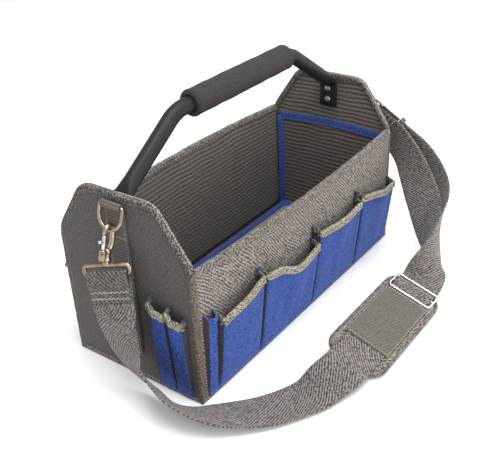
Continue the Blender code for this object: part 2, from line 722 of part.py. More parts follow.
def make_pad(frame):
    flat = ((1, 0, 0), (0, 1, 0))
    pad_pivot = add_pivot("pad_pivot", frame)
    add_outline("shoulder_pad", rounded_oblong(PAD_LENGTH, PAD_WIDTH, 0.020), 0, PAD_THICKNESS,
                flat, PAD_CLOTH, parent=pad_pivot)
    low = PAD_THICKNESS + GAP + WEBBING + GAP
    add_box("pad_top_panel", (-0.049, -PANEL_WIDTH / 2, low),
            (-0.049 + PANEL_LENGTH, PANEL_WIDTH / 2, low + 0.0012), PAD_CLOTH, parent=pad_pivot)


def make_slide(frame):
    """Three-bar slide that sets the strap's length."""
    height = STRAP_LAYER + WEBBING / 2 + GAP + SLIDE_WIRE
    place = Matrix.Translation((SLIDE_PLACE, 0, height))
    pivot = add_pivot("slide_pivot", frame @ place)
    points = rounded_oblong(SLIDE_LENGTH, SLIDE_WIDTH, 0.004, 3)
    slide = add_tube("strap_slide", [(x, y, 0) for x, y in points], SLIDE_WIRE, STEEL, cyclic=True,
                     parent=pivot)
    reach = SLIDE_WIDTH / 2
    bar = add_cylinder("strap_slide_bar", SLIDE_WIRE, (0, -reach, 0), (0, reach, 0), cutter=True,
                       parent=pivot, sides=12)
    combine(slide, bar, "UNION")


LEAD = 0.0005


def lead(eye, offset, distance):
    """A point in line with a strap loop's leg, this far beyond its end."""
    return eye @ Vector((offset, 0, EYE_BAR - LOOP_LENGTH - distance))


def near_route(eye, frame):
    """Centres and inner-to-outer directions from the near hook, round the corner, to the pad."""
    side = (eye.to_3x3() @ Vector((0, 1, 0))).normalized()
    down = (frame.to_3x3() @ Vector((0, -1, 0))).normalized()
    return [(lead(eye, 0, LEAD), side), (lead(eye, 0, 0.004), side), (lead(eye, 0, 0.009), side),
            ((-0.2335, -0.0150, 0.0970), (0.06, -0.95, 0.29)),
            ((-0.2320, -0.0145, 0.0850), (0.02, -0.96, 0.28)),
            ((-0.2300, -0.0150, 0.0700), (-0.04, -0.95, 0.30)),
            ((-0.2290, -0.0210, 0.0540), (-0.15, -0.90, 0.40)),
            ((-0.2300, -0.0340, 0.0410), (-0.38, -0.72, 0.56)),
            ((-0.2330, -0.0530, 0.0330), (-0.58, -0.48, 0.66)),
            ((-0.2340, -0.0750, 0.0225), (-0.62, -0.42, 0.66)),
            ((-0.2260, -0.0960, 0.0145), (-0.65, -0.55, 0.50)),
            ((-0.2120, -0.1150, 0.0095), (-0.70, -0.64, 0.30)),
            ((-0.1940, -0.1330, 0.0060), (-0.65, -0.74, 0.18)),
            ((-0.1750, -0.1490, 0.0040), (-0.57, -0.81, 0.10)),
            ((-0.1540, -0.1620, 0.0032), (-0.48, -0.87, 0.06)),
            ((-0.1320, -0.1740, 0.0050), (-0.34, -0.94, -0.02)),
            ((-0.1120, -0.1820, 0.0125), (-0.14, -0.96, -0.22)),
            (on_pad(frame, -0.0930), down), (on_pad(frame, -0.0820), down), (on_pad(frame, -0.0400), down),
            (on_pad(frame, PAD_X - GAP), down)]


def far_route(eye, frame):
    """Centres and edge directions from the pad, over the slide and up to the far hook."""
    up = (eye.to_3x3() @ Vector((0, 1, 0))).normalized()
    down = (frame.to_3x3() @ Vector((0, -1, 0))).normalized()
    return [(on_pad(frame, PAD_X + GAP), down), (on_pad(frame, 0.0400), down),
            (on_pad(frame, 0.0840), down), (on_pad(frame, 0.0940, 0.0014), down),
            ((0.1050, -0.1905, 0.0285), (0.16, -0.80, -0.57)),
            ((0.1180, -0.1900, 0.0385), (0.34, -0.42, -0.83)),
            ((0.1350, -0.1870, 0.0465), (0.39, -0.13, -0.91)),
            ((0.1590, -0.1800, 0.0565), (0.35, 0.10, -0.93)),
            ((0.1860, -0.1705, 0.0680), (0.26, 0.37, -0.89)),
            ((0.2080, -0.1560, 0.0810), (0.16, 0.52, -0.84)),
            ((0.2240, -0.1350, 0.0975), (0.12, 0.58, -0.81)),
            ((0.2310, -0.1120, 0.1160), (0.17, 0.59, -0.79)),
            (lead(eye, STRAND_SPREAD, 0.009), up), (lead(eye, STRAND_SPREAD, 0.004), up),
            (lead(eye, STRAND_SPREAD, LEAD), up)]


def return_route(eye):
    """The second strand, from the far hook down behind the first to just short of the slide."""
    up = (eye.to_3x3() @ Vector((0, 1, 0))).normalized()
    return [(lead(eye, -STRAND_SPREAD, LEAD), up), (lead(eye, -STRAND_SPREAD, 0.004), up),
            (lead(eye, -STRAND_SPREAD, 0.009), up),
            ((0.2190, -0.1010, 0.1180), (0.18, 0.66, -0.73)),
            ((0.2090, -0.1180, 0.1005), (0.01, 0.74, -0.68)),
            ((0.1970, -0.1345, 0.0825), (-0.13, 0.78, -0.61)),
            ((0.1830, -0.1500, 0.0660), (-0.14, 0.77, -0.62)),
            ((0.1650, -0.1620, 0.0550), (0.02, 0.63, -0.78)),
            ((0.1450, -0.1725, 0.0450), (0.24, 0.32, -0.92)),
            ((0.1270, -0.1800, 0.0350), (0.36, -0.10, -0.92))]


def on_pad(frame, x, lift=0.0):
    """The strap's centre where it lies on the pad, or this far above it, at this x."""
    return frame @ Vector((x - PAD_X, 0, STRAP_LAYER + lift))


def make_strap(near_eye, far_eye, frame):
    """The strap's three stretches: near hook to pad, pad to far hook, and back to the slide."""
    make_strand("strap_near", near_route(near_eye, frame))
    make_strand("strap_far", far_route(far_eye, frame))
    make_strand("strap_return", return_route(far_eye))


def main():
    make_base()
    for side, name in ((-1, "front"), (1, "rear")):
        make_long_wall(side, name)
        make_floor_tape(side, f"{name}_floor_tape")
    for side in (-1, 1):
        make_gable(side)
        make_inner_tape(side)
    make_pockets()
    make_handle()
    make_grip()
    make_rivets()
    near_eye = make_link(-1, 0.0, NEAR_TWIST, NEAR_ROCK, NEAR_EYE_DEPTH)
    far_eye = make_link(1, FAR_LEAN, 0.0, 0.0, EYE_DEPTH)
    frame = pad_frame()
    make_pad(frame)
    make_slide(frame)
    make_strap(near_eye, far_eye, frame)


main()
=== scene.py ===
"""Looks of an open garden tool tote: cloth body, pockets, padded handle, metalwork and strap.

Metres, +Z up, the bag's underside on z = 0. X runs along the bag and -Y is its pocketed front.
"""

from __future__ import annotations

import json
import logging
import math
from dataclasses import dataclass
from enum import Enum
from functools import cached_property, partial
from typing import Callable, Sequence

import bmesh
import bpy
from bpy.types import ID, Material, Node, NodeSocket, NodeTree, Object
from mathutils import Matrix, Vector, noise
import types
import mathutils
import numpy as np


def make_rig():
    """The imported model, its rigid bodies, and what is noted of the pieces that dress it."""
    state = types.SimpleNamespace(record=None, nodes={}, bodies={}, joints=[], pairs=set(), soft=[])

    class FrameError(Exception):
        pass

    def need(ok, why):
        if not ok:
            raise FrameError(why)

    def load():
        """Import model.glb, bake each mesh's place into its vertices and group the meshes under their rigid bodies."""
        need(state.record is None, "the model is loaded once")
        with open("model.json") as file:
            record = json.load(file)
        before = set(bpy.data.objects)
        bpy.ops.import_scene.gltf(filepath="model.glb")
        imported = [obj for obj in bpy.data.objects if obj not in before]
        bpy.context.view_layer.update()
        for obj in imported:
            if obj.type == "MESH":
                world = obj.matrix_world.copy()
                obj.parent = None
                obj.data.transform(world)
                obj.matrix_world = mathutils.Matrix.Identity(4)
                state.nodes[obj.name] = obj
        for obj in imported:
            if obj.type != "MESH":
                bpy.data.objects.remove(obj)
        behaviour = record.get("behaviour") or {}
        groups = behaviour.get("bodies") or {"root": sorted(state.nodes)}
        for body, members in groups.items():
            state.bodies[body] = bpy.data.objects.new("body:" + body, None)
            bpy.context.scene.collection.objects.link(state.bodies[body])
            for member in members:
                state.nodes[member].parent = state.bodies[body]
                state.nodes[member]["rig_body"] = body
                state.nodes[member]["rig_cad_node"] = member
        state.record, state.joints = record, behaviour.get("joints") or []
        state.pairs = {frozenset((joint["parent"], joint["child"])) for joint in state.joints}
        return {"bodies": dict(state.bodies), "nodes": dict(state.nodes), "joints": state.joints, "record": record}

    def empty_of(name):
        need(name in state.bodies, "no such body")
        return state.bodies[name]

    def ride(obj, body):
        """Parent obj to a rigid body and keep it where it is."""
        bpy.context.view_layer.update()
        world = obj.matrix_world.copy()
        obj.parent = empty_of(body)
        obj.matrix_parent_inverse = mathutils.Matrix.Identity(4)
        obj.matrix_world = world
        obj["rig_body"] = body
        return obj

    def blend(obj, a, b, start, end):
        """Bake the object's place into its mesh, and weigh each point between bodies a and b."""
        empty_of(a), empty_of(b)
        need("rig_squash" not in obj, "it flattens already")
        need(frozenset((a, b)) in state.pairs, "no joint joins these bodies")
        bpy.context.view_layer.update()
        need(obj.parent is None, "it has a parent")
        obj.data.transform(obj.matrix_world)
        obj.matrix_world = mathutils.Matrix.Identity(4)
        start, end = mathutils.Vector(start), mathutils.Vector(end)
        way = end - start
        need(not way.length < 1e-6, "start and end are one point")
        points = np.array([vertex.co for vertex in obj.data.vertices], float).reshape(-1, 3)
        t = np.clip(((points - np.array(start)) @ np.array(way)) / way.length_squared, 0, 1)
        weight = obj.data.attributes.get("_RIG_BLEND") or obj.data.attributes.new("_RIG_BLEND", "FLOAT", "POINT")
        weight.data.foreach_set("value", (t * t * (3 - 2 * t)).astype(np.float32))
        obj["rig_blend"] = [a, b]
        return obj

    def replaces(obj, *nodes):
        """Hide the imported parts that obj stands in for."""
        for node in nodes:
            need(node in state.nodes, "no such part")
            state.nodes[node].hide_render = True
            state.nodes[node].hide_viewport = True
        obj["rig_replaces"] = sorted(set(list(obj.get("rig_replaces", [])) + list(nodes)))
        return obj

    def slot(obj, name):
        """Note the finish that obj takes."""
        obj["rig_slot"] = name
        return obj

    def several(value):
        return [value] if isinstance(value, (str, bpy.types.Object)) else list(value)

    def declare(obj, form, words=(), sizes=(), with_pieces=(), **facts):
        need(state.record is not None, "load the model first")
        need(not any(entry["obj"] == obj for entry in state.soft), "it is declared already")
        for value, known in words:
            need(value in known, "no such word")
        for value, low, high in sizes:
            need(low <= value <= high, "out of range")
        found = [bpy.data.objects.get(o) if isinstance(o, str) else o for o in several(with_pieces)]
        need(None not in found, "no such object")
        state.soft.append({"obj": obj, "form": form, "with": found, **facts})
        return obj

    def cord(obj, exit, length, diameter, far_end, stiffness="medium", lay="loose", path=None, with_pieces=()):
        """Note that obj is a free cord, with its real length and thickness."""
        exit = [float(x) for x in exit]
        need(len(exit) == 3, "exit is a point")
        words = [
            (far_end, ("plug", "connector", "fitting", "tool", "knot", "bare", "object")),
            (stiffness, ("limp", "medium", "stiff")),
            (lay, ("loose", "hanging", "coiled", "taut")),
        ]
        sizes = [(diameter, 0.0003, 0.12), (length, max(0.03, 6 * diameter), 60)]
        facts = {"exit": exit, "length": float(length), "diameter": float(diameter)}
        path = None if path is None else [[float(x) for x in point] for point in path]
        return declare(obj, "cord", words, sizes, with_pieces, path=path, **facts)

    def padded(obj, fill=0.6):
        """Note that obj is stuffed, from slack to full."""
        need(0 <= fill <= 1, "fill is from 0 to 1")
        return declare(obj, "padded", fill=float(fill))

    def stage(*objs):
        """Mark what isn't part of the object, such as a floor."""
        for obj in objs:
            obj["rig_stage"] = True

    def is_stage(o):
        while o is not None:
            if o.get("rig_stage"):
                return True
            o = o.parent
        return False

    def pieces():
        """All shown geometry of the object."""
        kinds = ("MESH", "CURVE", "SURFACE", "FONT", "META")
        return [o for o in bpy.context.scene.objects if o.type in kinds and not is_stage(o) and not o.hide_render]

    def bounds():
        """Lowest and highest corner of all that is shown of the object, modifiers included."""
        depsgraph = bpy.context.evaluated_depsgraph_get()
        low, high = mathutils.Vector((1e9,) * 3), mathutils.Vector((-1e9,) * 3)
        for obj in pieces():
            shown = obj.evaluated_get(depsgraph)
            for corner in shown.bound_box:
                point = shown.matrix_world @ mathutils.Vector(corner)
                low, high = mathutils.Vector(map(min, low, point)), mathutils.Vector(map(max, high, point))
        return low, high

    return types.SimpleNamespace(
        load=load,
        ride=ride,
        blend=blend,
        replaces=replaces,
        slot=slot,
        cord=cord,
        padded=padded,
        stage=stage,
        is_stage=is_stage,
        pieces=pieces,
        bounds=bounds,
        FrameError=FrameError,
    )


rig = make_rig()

LOG = logging.getLogger("garden_tool_bag")
Route = list[tuple[Vector, Vector]]
Outline = Sequence[tuple[float, float]]
Triple = tuple[float, float, float]
SIZE_FILE = "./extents.json"


# ------------------------------ small geometry

def smooth_route(points: Sequence[Vector], steps: int) -> list[Vector]:
    """Run a Catmull-Rom curve through points.

    Args:
        points: The points that the curve passes.
        steps: Pieces between two of them.

    Returns:
        The curve's points, ends included.
    """
    padded = [points[0] * 2 - points[1], *points, points[-1] * 2 - points[-2]]
    out: list[Vector] = []
    for p, q, r, s in zip(padded, padded[1:], padded[2:], padded[3:]):
        for step in range(steps):
            t = step / steps
            out.append(0.5 * (2 * q + (r - p) * t + (2 * p - 5 * q + 4 * r - s) * t ** 2
                              + (3 * q - p - 3 * r + s) * t ** 3))
    return out + [points[-1]]


def arc(centre: tuple[float, float], radius: float, start: float, end: float,
        steps: int) -> Outline:
    """Points of a plane arc, its angles in degrees."""
    angles = [math.radians(start + (end - start) * i / steps) for i in range(steps + 1)]
    return [(centre[0] + radius * math.cos(a), centre[1] + radius * math.sin(a)) for a in angles]


def rounded_oblong(length: float, width: float, radius: float, steps: int) -> Outline:
    """Outline of a rectangle with round corners, anticlockwise from its +X +Y corner."""
    x, y = length / 2 - radius, width / 2 - radius
    points: Outline = []
    for cx, cy, start in ((x, y, 0), (-x, y, 90), (-x, -y, 180), (x, -y, 270)):
        points += arc((cx, cy), radius, start, start + 90, steps)
    return points


def flat_profile(width: float, thickness: float) -> Outline:
    """Cross-section of a tape or webbing: a thin oblong with round edges."""
    return rounded_oblong(width, thickness, thickness * 0.48, 3)


def ripple(point: Vector, scale: float, size: float) -> float:
    """Soft unevenness of cloth at a point, between -size and size."""
    return noise.noise(point * scale) * size


def filleted(corners: Outline, radius: float, steps: int) -> Outline:
    """Round the inner corners of an open outline.

    Args:
        corners: The outline's corners.
        radius: Distance from a corner at which its rounding starts.
        steps: Pieces in a rounding.

    Returns:
        The outline's points.
    """
    out = [corners[0]]
    for before, corner, after in zip(corners, corners[1:], corners[2:]):
        a, b, c = Vector(before), Vector(corner), Vector(after)
        first = b + (a - b).normalized() * radius
        last = b + (c - b).normalized() * radius
        for i in range(steps + 1):
            t = i / steps
            spot = first * (1 - t) ** 2 + b * 2 * t * (1 - t) + last * t ** 2
            out.append((spot.x, spot.y))
    return out + [corners[-1]]


def spaced(points: Sequence[Vector], pitch: float) -> list[Vector]:
    """Points at an even spacing along a broken line."""
    out = [points[0].copy()]
    left = pitch
    for a, b in zip(points, points[1:]):
        span = (b - a).length
        along = 0.0
        while span - along > left:
            along += left
            out.append(a.lerp(b, along / span))
            left = pitch
        left -= span - along
    return out + [points[-1].copy()]


def end_name(side: int) -> str:
    """Near for -X, far for +X."""
    return "near" if side < 0 else "far"


# ------------------------------ mesh making

def linked(name: str, data: ID) -> Object:
    """Make an object of its data and put it in the scene."""
    obj = bpy.data.objects.new(name, data)
    bpy.context.scene.collection.objects.link(obj)
    return obj


class Weaver:
    """Makes mesh objects with closed walls and a UV map measured in metres."""

    @staticmethod
    def grid(name: str, rows: Sequence[Sequence[Vector]], uvs: Sequence[Outline],
             round_way: bool = False, ring_way: bool = False, caps: bool = False) -> Object:
        """Join rows of points into a surface.

        Args:
            name: Name of the object.
            rows: Rows of points, all of one length.
            uvs: A UV for each point.
            round_way: Whether each row closes on itself.
            ring_way: Whether the last row joins the first.
            caps: Whether the first and last rows are filled.

        Returns:
            The object, linked to the scene, its faces outwards.
        """
        mesh = bpy.data.meshes.new(name)
        bm = bmesh.new()
        layer = bm.loops.layers.uv.new("UVMap")
        verts = [[bm.verts.new(p) for p in row] for row in rows]
        count, width = len(rows), len(rows[0])
        for i in range(count if ring_way else count - 1):
            for j in range(width if round_way else width - 1):
                i2, j2 = (i + 1) % count, (j + 1) % width
                corners = ((i, j), (i, j2), (i2, j2), (i2, j))
                try:
                    face = bm.faces.new([verts[a][b] for a, b in corners])
                except ValueError:
                    continue
                face.smooth = True
                for loop, (a, b) in zip(face.loops, corners):
                    u, v = uvs[a][b]
                    if b == 0 and j2 == 0:
                        u = uvs[a][-1][0] + (rows[a][-1] - rows[a][0]).length
                    if a == 0 and i2 == 0:
                        v = uvs[-1][b][1] + (rows[-1][b] - rows[0][b]).length
                    loop[layer].uv = (u, v)
        if caps:
            for row, uv in ((verts[0], uvs[0]), (verts[-1], uvs[-1])):
                face = bm.faces.new(row)
                for loop, (u, v) in zip(face.loops, uv):
                    loop[layer].uv = (u, v)
        bmesh.ops.remove_doubles(bm, verts=bm.verts, dist=1e-7)
        bmesh.ops.recalc_face_normals(bm, faces=bm.faces)
        bm.to_mesh(mesh)
        bm.free()
        return linked(name, mesh)

    @staticmethod
    def baked(obj: Object) -> Object:
        """Apply an object's modifiers to its mesh."""
        bpy.context.view_layer.update()
        graph = bpy.context.evaluated_depsgraph_get()
        mesh = bpy.data.meshes.new_from_object(obj.evaluated_get(graph))
        obj.modifiers.clear()
        obj.data = mesh
        return obj

    @classmethod
    def cloth(cls, name: str, rows: Sequence[Sequence[Vector]], uvs: Sequence[Outline],
              thickness: float, outside: Vector | None = None) -> Object:
        """Make a sheet of cloth of even thickness about the given surface.

        Args:
            name: Name of the object.
            rows: Rows of points on the middle of the sheet.
            uvs: A UV for each point.
            thickness: Thickness of the sheet.
            outside: Rough direction that its first side faces.

        Returns:
            The closed sheet, with its second side on material slot 2.
        """
        obj = cls.grid(name, rows, uvs)
        if outside is not None:
            total = Vector()
            for poly in obj.data.polygons:
                total += poly.normal * poly.area
            if total.dot(outside) < 0:
                obj.data.flip_normals()
        wall = obj.modifiers.new("thickness", "SOLIDIFY")
        wall.thickness = thickness
        wall.offset = 0.0
        wall.use_rim = True
        wall.material_offset = 1
        wall.material_offset_rim = 0
        cls.two_slots(obj)
        return cls.baked(obj)

    @staticmethod
    def two_slots(obj: Object) -> None:
        """Make room for an outside and an inside finish."""
        obj.data.materials.append(None)
        obj.data.materials.append(None)

    @classmethod
    def sweep(cls, name: str, path: Sequence[Vector], ups: Sequence[Vector],
              profile: Outline | Callable[[int], Outline],
              closed: bool = False) -> Object:
        """Carry a cross-section along a path.

        Args:
            name: Name of the object.
            path: The points followed.
            ups: Direction of the section's second axis at each point.
            profile: The section, as (sideways, up) points, or a function of the point's number.
            closed: Whether the path is a ring.

        Returns:
            The closed solid.
        """
        rows: list[list[Vector]] = []
        uvs: list[Outline] = []
        run = 0.0
        last = len(path) - 1
        for number, (spot, up) in enumerate(zip(path, ups)):
            if closed:
                along = path[(number + 1) % len(path)] - path[number - 1]
            else:
                along = path[min(number + 1, last)] - path[max(number - 1, 0)]
            along.normalize()
            up = (up - along * up.dot(along)).normalized()
            side = along.cross(up)
            section = profile(number) if callable(profile) else profile
            row = [spot + side * a + up * b for a, b in section]
            lengths = [0.0]
            for (a, b), (c, d) in zip(section, section[1:]):
                lengths.append(lengths[-1] + math.hypot(c - a, d - b))
            rows.append(row)
            uvs.append([(u, run) for u in lengths])
            if number < last:
                run += (path[number + 1] - spot).length
        return cls.grid(name, rows, uvs, round_way=True, ring_way=closed, caps=not closed)

    @classmethod
    def wire(cls, name: str, path: Sequence[Vector], radius: float | Callable[[int], float],
             closed: bool = False, sides: int = 16) -> Object:
        """Make a round wire along a path, its radius even or given at each point."""
        first = (path[1] - path[0]).normalized()
        up = first.orthogonal().normalized()
        ups: list[Vector] = []
        for number in range(len(path)):
            after = path[(number + 1) % len(path)] if closed else path[min(number + 1, len(path) - 1)]
            before = path[number - 1] if closed or number else path[0]
            along = (after - before).normalized()
            up = (up - along * up.dot(along)).normalized()
            ups.append(up.copy())

        def ring(number: int) -> Outline:
            """The section at a point."""
            size = radius(number) if callable(radius) else radius
            return arc((0, 0), size, 0, 360 * (1 - 1 / sides), sides - 1)
        return cls.sweep(name, path, ups, ring, closed)

    @classmethod
    def lathe(cls, name: str, profile: Outline, frame: Matrix,
              sides: int = 32) -> Object:
        """Turn a profile of (radius, height) points about a frame's Z axis."""
        rows = []
        uvs = []
        run = 0.0
        for number, (radius, height) in enumerate(profile):
            if number:
                run += math.hypot(radius - profile[number - 1][0], height - profile[number - 1][1])
            rows.append([frame @ Vector((radius * math.cos(math.tau * k / sides),
                                         radius * math.sin(math.tau * k / sides), height))
                         for k in range(sides)])
            uvs.append([(max(radius, 1e-5) * math.tau * k / sides, run) for k in range(sides)])
        return cls.grid(name, rows, uvs, round_way=True)

    @staticmethod
    def joined(name: str, objects: Sequence[Object]) -> Object:
        """Put several closed meshes into one object."""
        bm = bmesh.new()
        materials: list[Material | None] = []
        for obj in objects:
            start = len(bm.faces)
            bm.from_mesh(obj.data)
            bm.faces.ensure_lookup_table()
            slots = list(obj.data.materials)
            for face in bm.faces[start:]:
                material = slots[face.material_index] if slots else None
                if material not in materials:
                    materials.append(material)
                face.material_index = materials.index(material)
        mesh = bpy.data.meshes.new(name)
        bm.to_mesh(mesh)
        bm.free()
        for material in materials:
            mesh.materials.append(material)
        for obj in objects:
            bpy.data.objects.remove(obj, do_unlink=True)
        return linked(name, mesh)


# ------------------------------ shader groups

class Pattern(Enum):
    """Ways a cloth is woven."""

    PLAIN = 0.0
    TWILL = 1.0


class Across(Enum):
    """What a pattern is laid along: the UV map, or the floor's two axes."""

    UV = "uv"
    FLOOR = "xy"


def add_node(tree: NodeTree, kind: str, inputs: dict[str | int, object] | None = None,
             **settings: object) -> Node:
    """Add a node to a tree.

    Args:
        tree: Where the node goes.
        kind: Its type.
        inputs: What goes into its inputs, each a value or a socket to link.
        settings: Its properties.

    Returns:
        The node.
    """
    node = tree.nodes.new(kind)
    for label, value in settings.items():
        setattr(node, label, value)
    for place, value in (inputs or {}).items():
        if isinstance(value, NodeSocket):
            tree.links.new(value, node.inputs[place])
        else:
            node.inputs[place].default_value = value
    return node


def add_math(tree: NodeTree, operation: str, *values: object) -> NodeSocket:
    """Add a Math node on values or sockets and return its output."""
    return add_node(tree, "ShaderNodeMath", dict(enumerate(values)), operation=operation).outputs[0]


def add_noise(tree: NodeTree, vector: NodeSocket, scale: object, detail: float) -> NodeSocket:
    """Add a noise texture and return its value."""
    inputs = {"Vector": vector, "Scale": scale, "Detail": detail}
    return add_node(tree, "ShaderNodeTexNoise", inputs).outputs["Fac"]


class ShaderKit:
    """The shared shader groups, each built when it is first asked for."""

    @staticmethod
    def new_tree(name: str, outputs: Sequence[str], **inputs: float) -> tuple[NodeTree, Node, Node]:
        """Start a shader group that takes a Vector.

        Args:
            name: The group's name.
            outputs: Names of its number outputs.
            inputs: Its number inputs and their defaults, underscores standing for spaces.

        Returns:
            The tree, its input node and its output node.
        """
        tree = bpy.data.node_groups.new(name, "ShaderNodeTree")
        tree.interface.new_socket("Vector", in_out="INPUT", socket_type="NodeSocketVector")
        for label, value in inputs.items():
            socket = tree.interface.new_socket(label.replace("_", " "), in_out="INPUT",
                                               socket_type="NodeSocketFloat")
            socket.default_value = value
        for label in outputs:
            tree.interface.new_socket(label, in_out="OUTPUT", socket_type="NodeSocketFloat")
        return tree, tree.nodes.new("NodeGroupInput"), tree.nodes.new("NodeGroupOutput")

    @cached_property
    def weave(self) -> NodeTree:
        """Crossing threads: their height and their shade."""
        tree, take, give = self.new_tree("woven threads", ("Height", "Shade"), Pitch=0.002, Twill=0,
                                         Unevenness=0.3)
        m = partial(add_math, tree)
        spot, twill = take.outputs["Vector"], take.outputs["Twill"]
        wobble = add_noise(tree, spot, 60.0, 2.0)
        parts = add_node(tree, "ShaderNodeSeparateXYZ", {0: spot})
        shift = m("MULTIPLY", m("SUBTRACT", wobble, 0.5), take.outputs["Unevenness"])
        counts = [m("DIVIDE", parts.outputs[axis], take.outputs["Pitch"]) for axis in (0, 1)]
        turns = [m("MULTIPLY", m("ADD", count, shift), math.tau) for count in counts]
        plain = m("MULTIPLY", m("SINE", turns[0]), m("SINE", turns[1]))
        diagonal = m("SINE", m("ADD", turns[0], turns[1]))
        low = m("MULTIPLY", plain, m("SUBTRACT", 1.0, twill))
        both = m("ADD", low, m("MULTIPLY", diagonal, twill))
        height = m("MULTIPLY_ADD", both, 0.5, 0.5)
        tree.links.new(height, give.inputs["Height"])
        grain = add_noise(tree, spot, 900.0, 1.0)
        shade = m("ADD", m("MULTIPLY", height, 0.65), m("MULTIPLY", grain, 0.35))
        tree.links.new(shade, give.inputs["Shade"])
        return tree

    @cached_property
    def ribs(self) -> NodeTree:
        """Raised ribs across or along a cloth, a little wavy."""
        tree, take, give = self.new_tree("cloth ribs", ("Height",), Pitch=0.004, Lean=0, Waviness=0.3)
        m = partial(add_math, tree)
        wave = add_noise(tree, take.outputs["Vector"], 22.0, 1.5)
        parts = add_node(tree, "ShaderNodeSeparateXYZ", {0: take.outputs["Vector"]})
        leaning = m("MULTIPLY_ADD", parts.outputs[0], take.outputs["Lean"], parts.outputs[1])
        turns = m("DIVIDE", leaning, take.outputs["Pitch"])
        swing = m("MULTIPLY", m("SUBTRACT", wave, 0.5), m("MULTIPLY", take.outputs["Waviness"], 6.0))
        turns = m("MULTIPLY", m("ADD", turns, swing), math.tau)
        tree.links.new(m("MULTIPLY_ADD", m("SINE", turns), 0.5, 0.5), give.inputs["Height"])
        return tree

    @cached_property
    def wear(self) -> NodeTree:
        """Broad patches and fine specks, for dust, fading and rubbed spots."""
        tree, take, give = self.new_tree("patches and specks", ("Patch", "Speck"), Patch_Scale=14,
                                         Speck_Scale=500)
        for label, detail in (("Patch", 4.0), ("Speck", 2.0)):
            cloud = add_noise(tree, take.outputs["Vector"], take.outputs[f"{label} Scale"], detail)
            tree.links.new(cloud, give.inputs[label])
        return tree


KIT = ShaderKit()


class FinishBench:
    """One material while it is put together."""

    def __init__(self, name: str, across: Across = Across.UV) -> None:
        """Start a material with its Principled shader and its coordinates."""
        self.material = bpy.data.materials.new(name)
        self.material.use_nodes = True
        self.tree = self.material.node_tree
        self.shader = self.tree.nodes["Principled BSDF"]
        place = add_node(self.tree, "ShaderNodeTexCoord")
        self.object = place.outputs["Object"]
        self.flat = place.outputs["UV"]
        if across is Across.FLOOR:
            parts = add_node(self.tree, "ShaderNodeSeparateXYZ", {0: self.object})
            flat = add_node(self.tree, "ShaderNodeCombineXYZ", {0: parts.outputs[0], 1: parts.outputs[1]})
            self.flat = flat.outputs[0]

    def group(self, tree: NodeTree, vector: NodeSocket, **values: float) -> Node:
        """Place a shared group and set its values, underscores standing for spaces."""
        inputs = {label.replace("_", " "): value for label, value in values.items()}
        return add_node(self.tree, "ShaderNodeGroup", {"Vector": vector, **inputs}, node_tree=tree)

    def blend(self, mask: NodeSocket, low: object, high: object) -> NodeSocket:
        """Mix two colours, or a colour and a socket, by a mask."""
        node = add_node(self.tree, "ShaderNodeMix", {"Factor": mask}, data_type="RGBA")
        for slot, value in (("A", low), ("B", high)):
            socket = [s for s in node.inputs if s.name == slot and s.type == "RGBA"][0]
            if isinstance(value, NodeSocket):
                self.tree.links.new(value, socket)
            else:
                socket.default_value = (*value, 1.0)
        return [s for s in node.outputs if s.type == "RGBA"][0]

    def ramp(self, value: NodeSocket, low: float, high: float) -> NodeSocket:
        """Stretch a value so that low gives 0 and high gives 1."""
        inputs = {"Value": value, "From Min": low, "From Max": high}
        return add_node(self.tree, "ShaderNodeMapRange", inputs).outputs["Result"]

    def bump(self, height: NodeSocket, distance: float, strength: float) -> None:
        """Raise the surface by a height."""
        inputs = {"Distance": distance, "Strength": strength, "Height": height}
        node = add_node(self.tree, "ShaderNodeBump", inputs)
        self.tree.links.new(node.outputs["Normal"], self.shader.inputs["Normal"])

    def colour(self, socket: NodeSocket) -> None:
        """Give the shader its colour."""
        self.tree.links.new(socket, self.shader.inputs["Base Color"])

    def rough(self, mask: NodeSocket, low: float, high: float) -> None:
        """Vary the roughness between two values."""
        node = add_node(self.tree, "ShaderNodeMapRange", {"Value": mask, "To Min": low, "To Max": high})
        self.tree.links.new(node.outputs["Result"], self.shader.inputs["Roughness"])


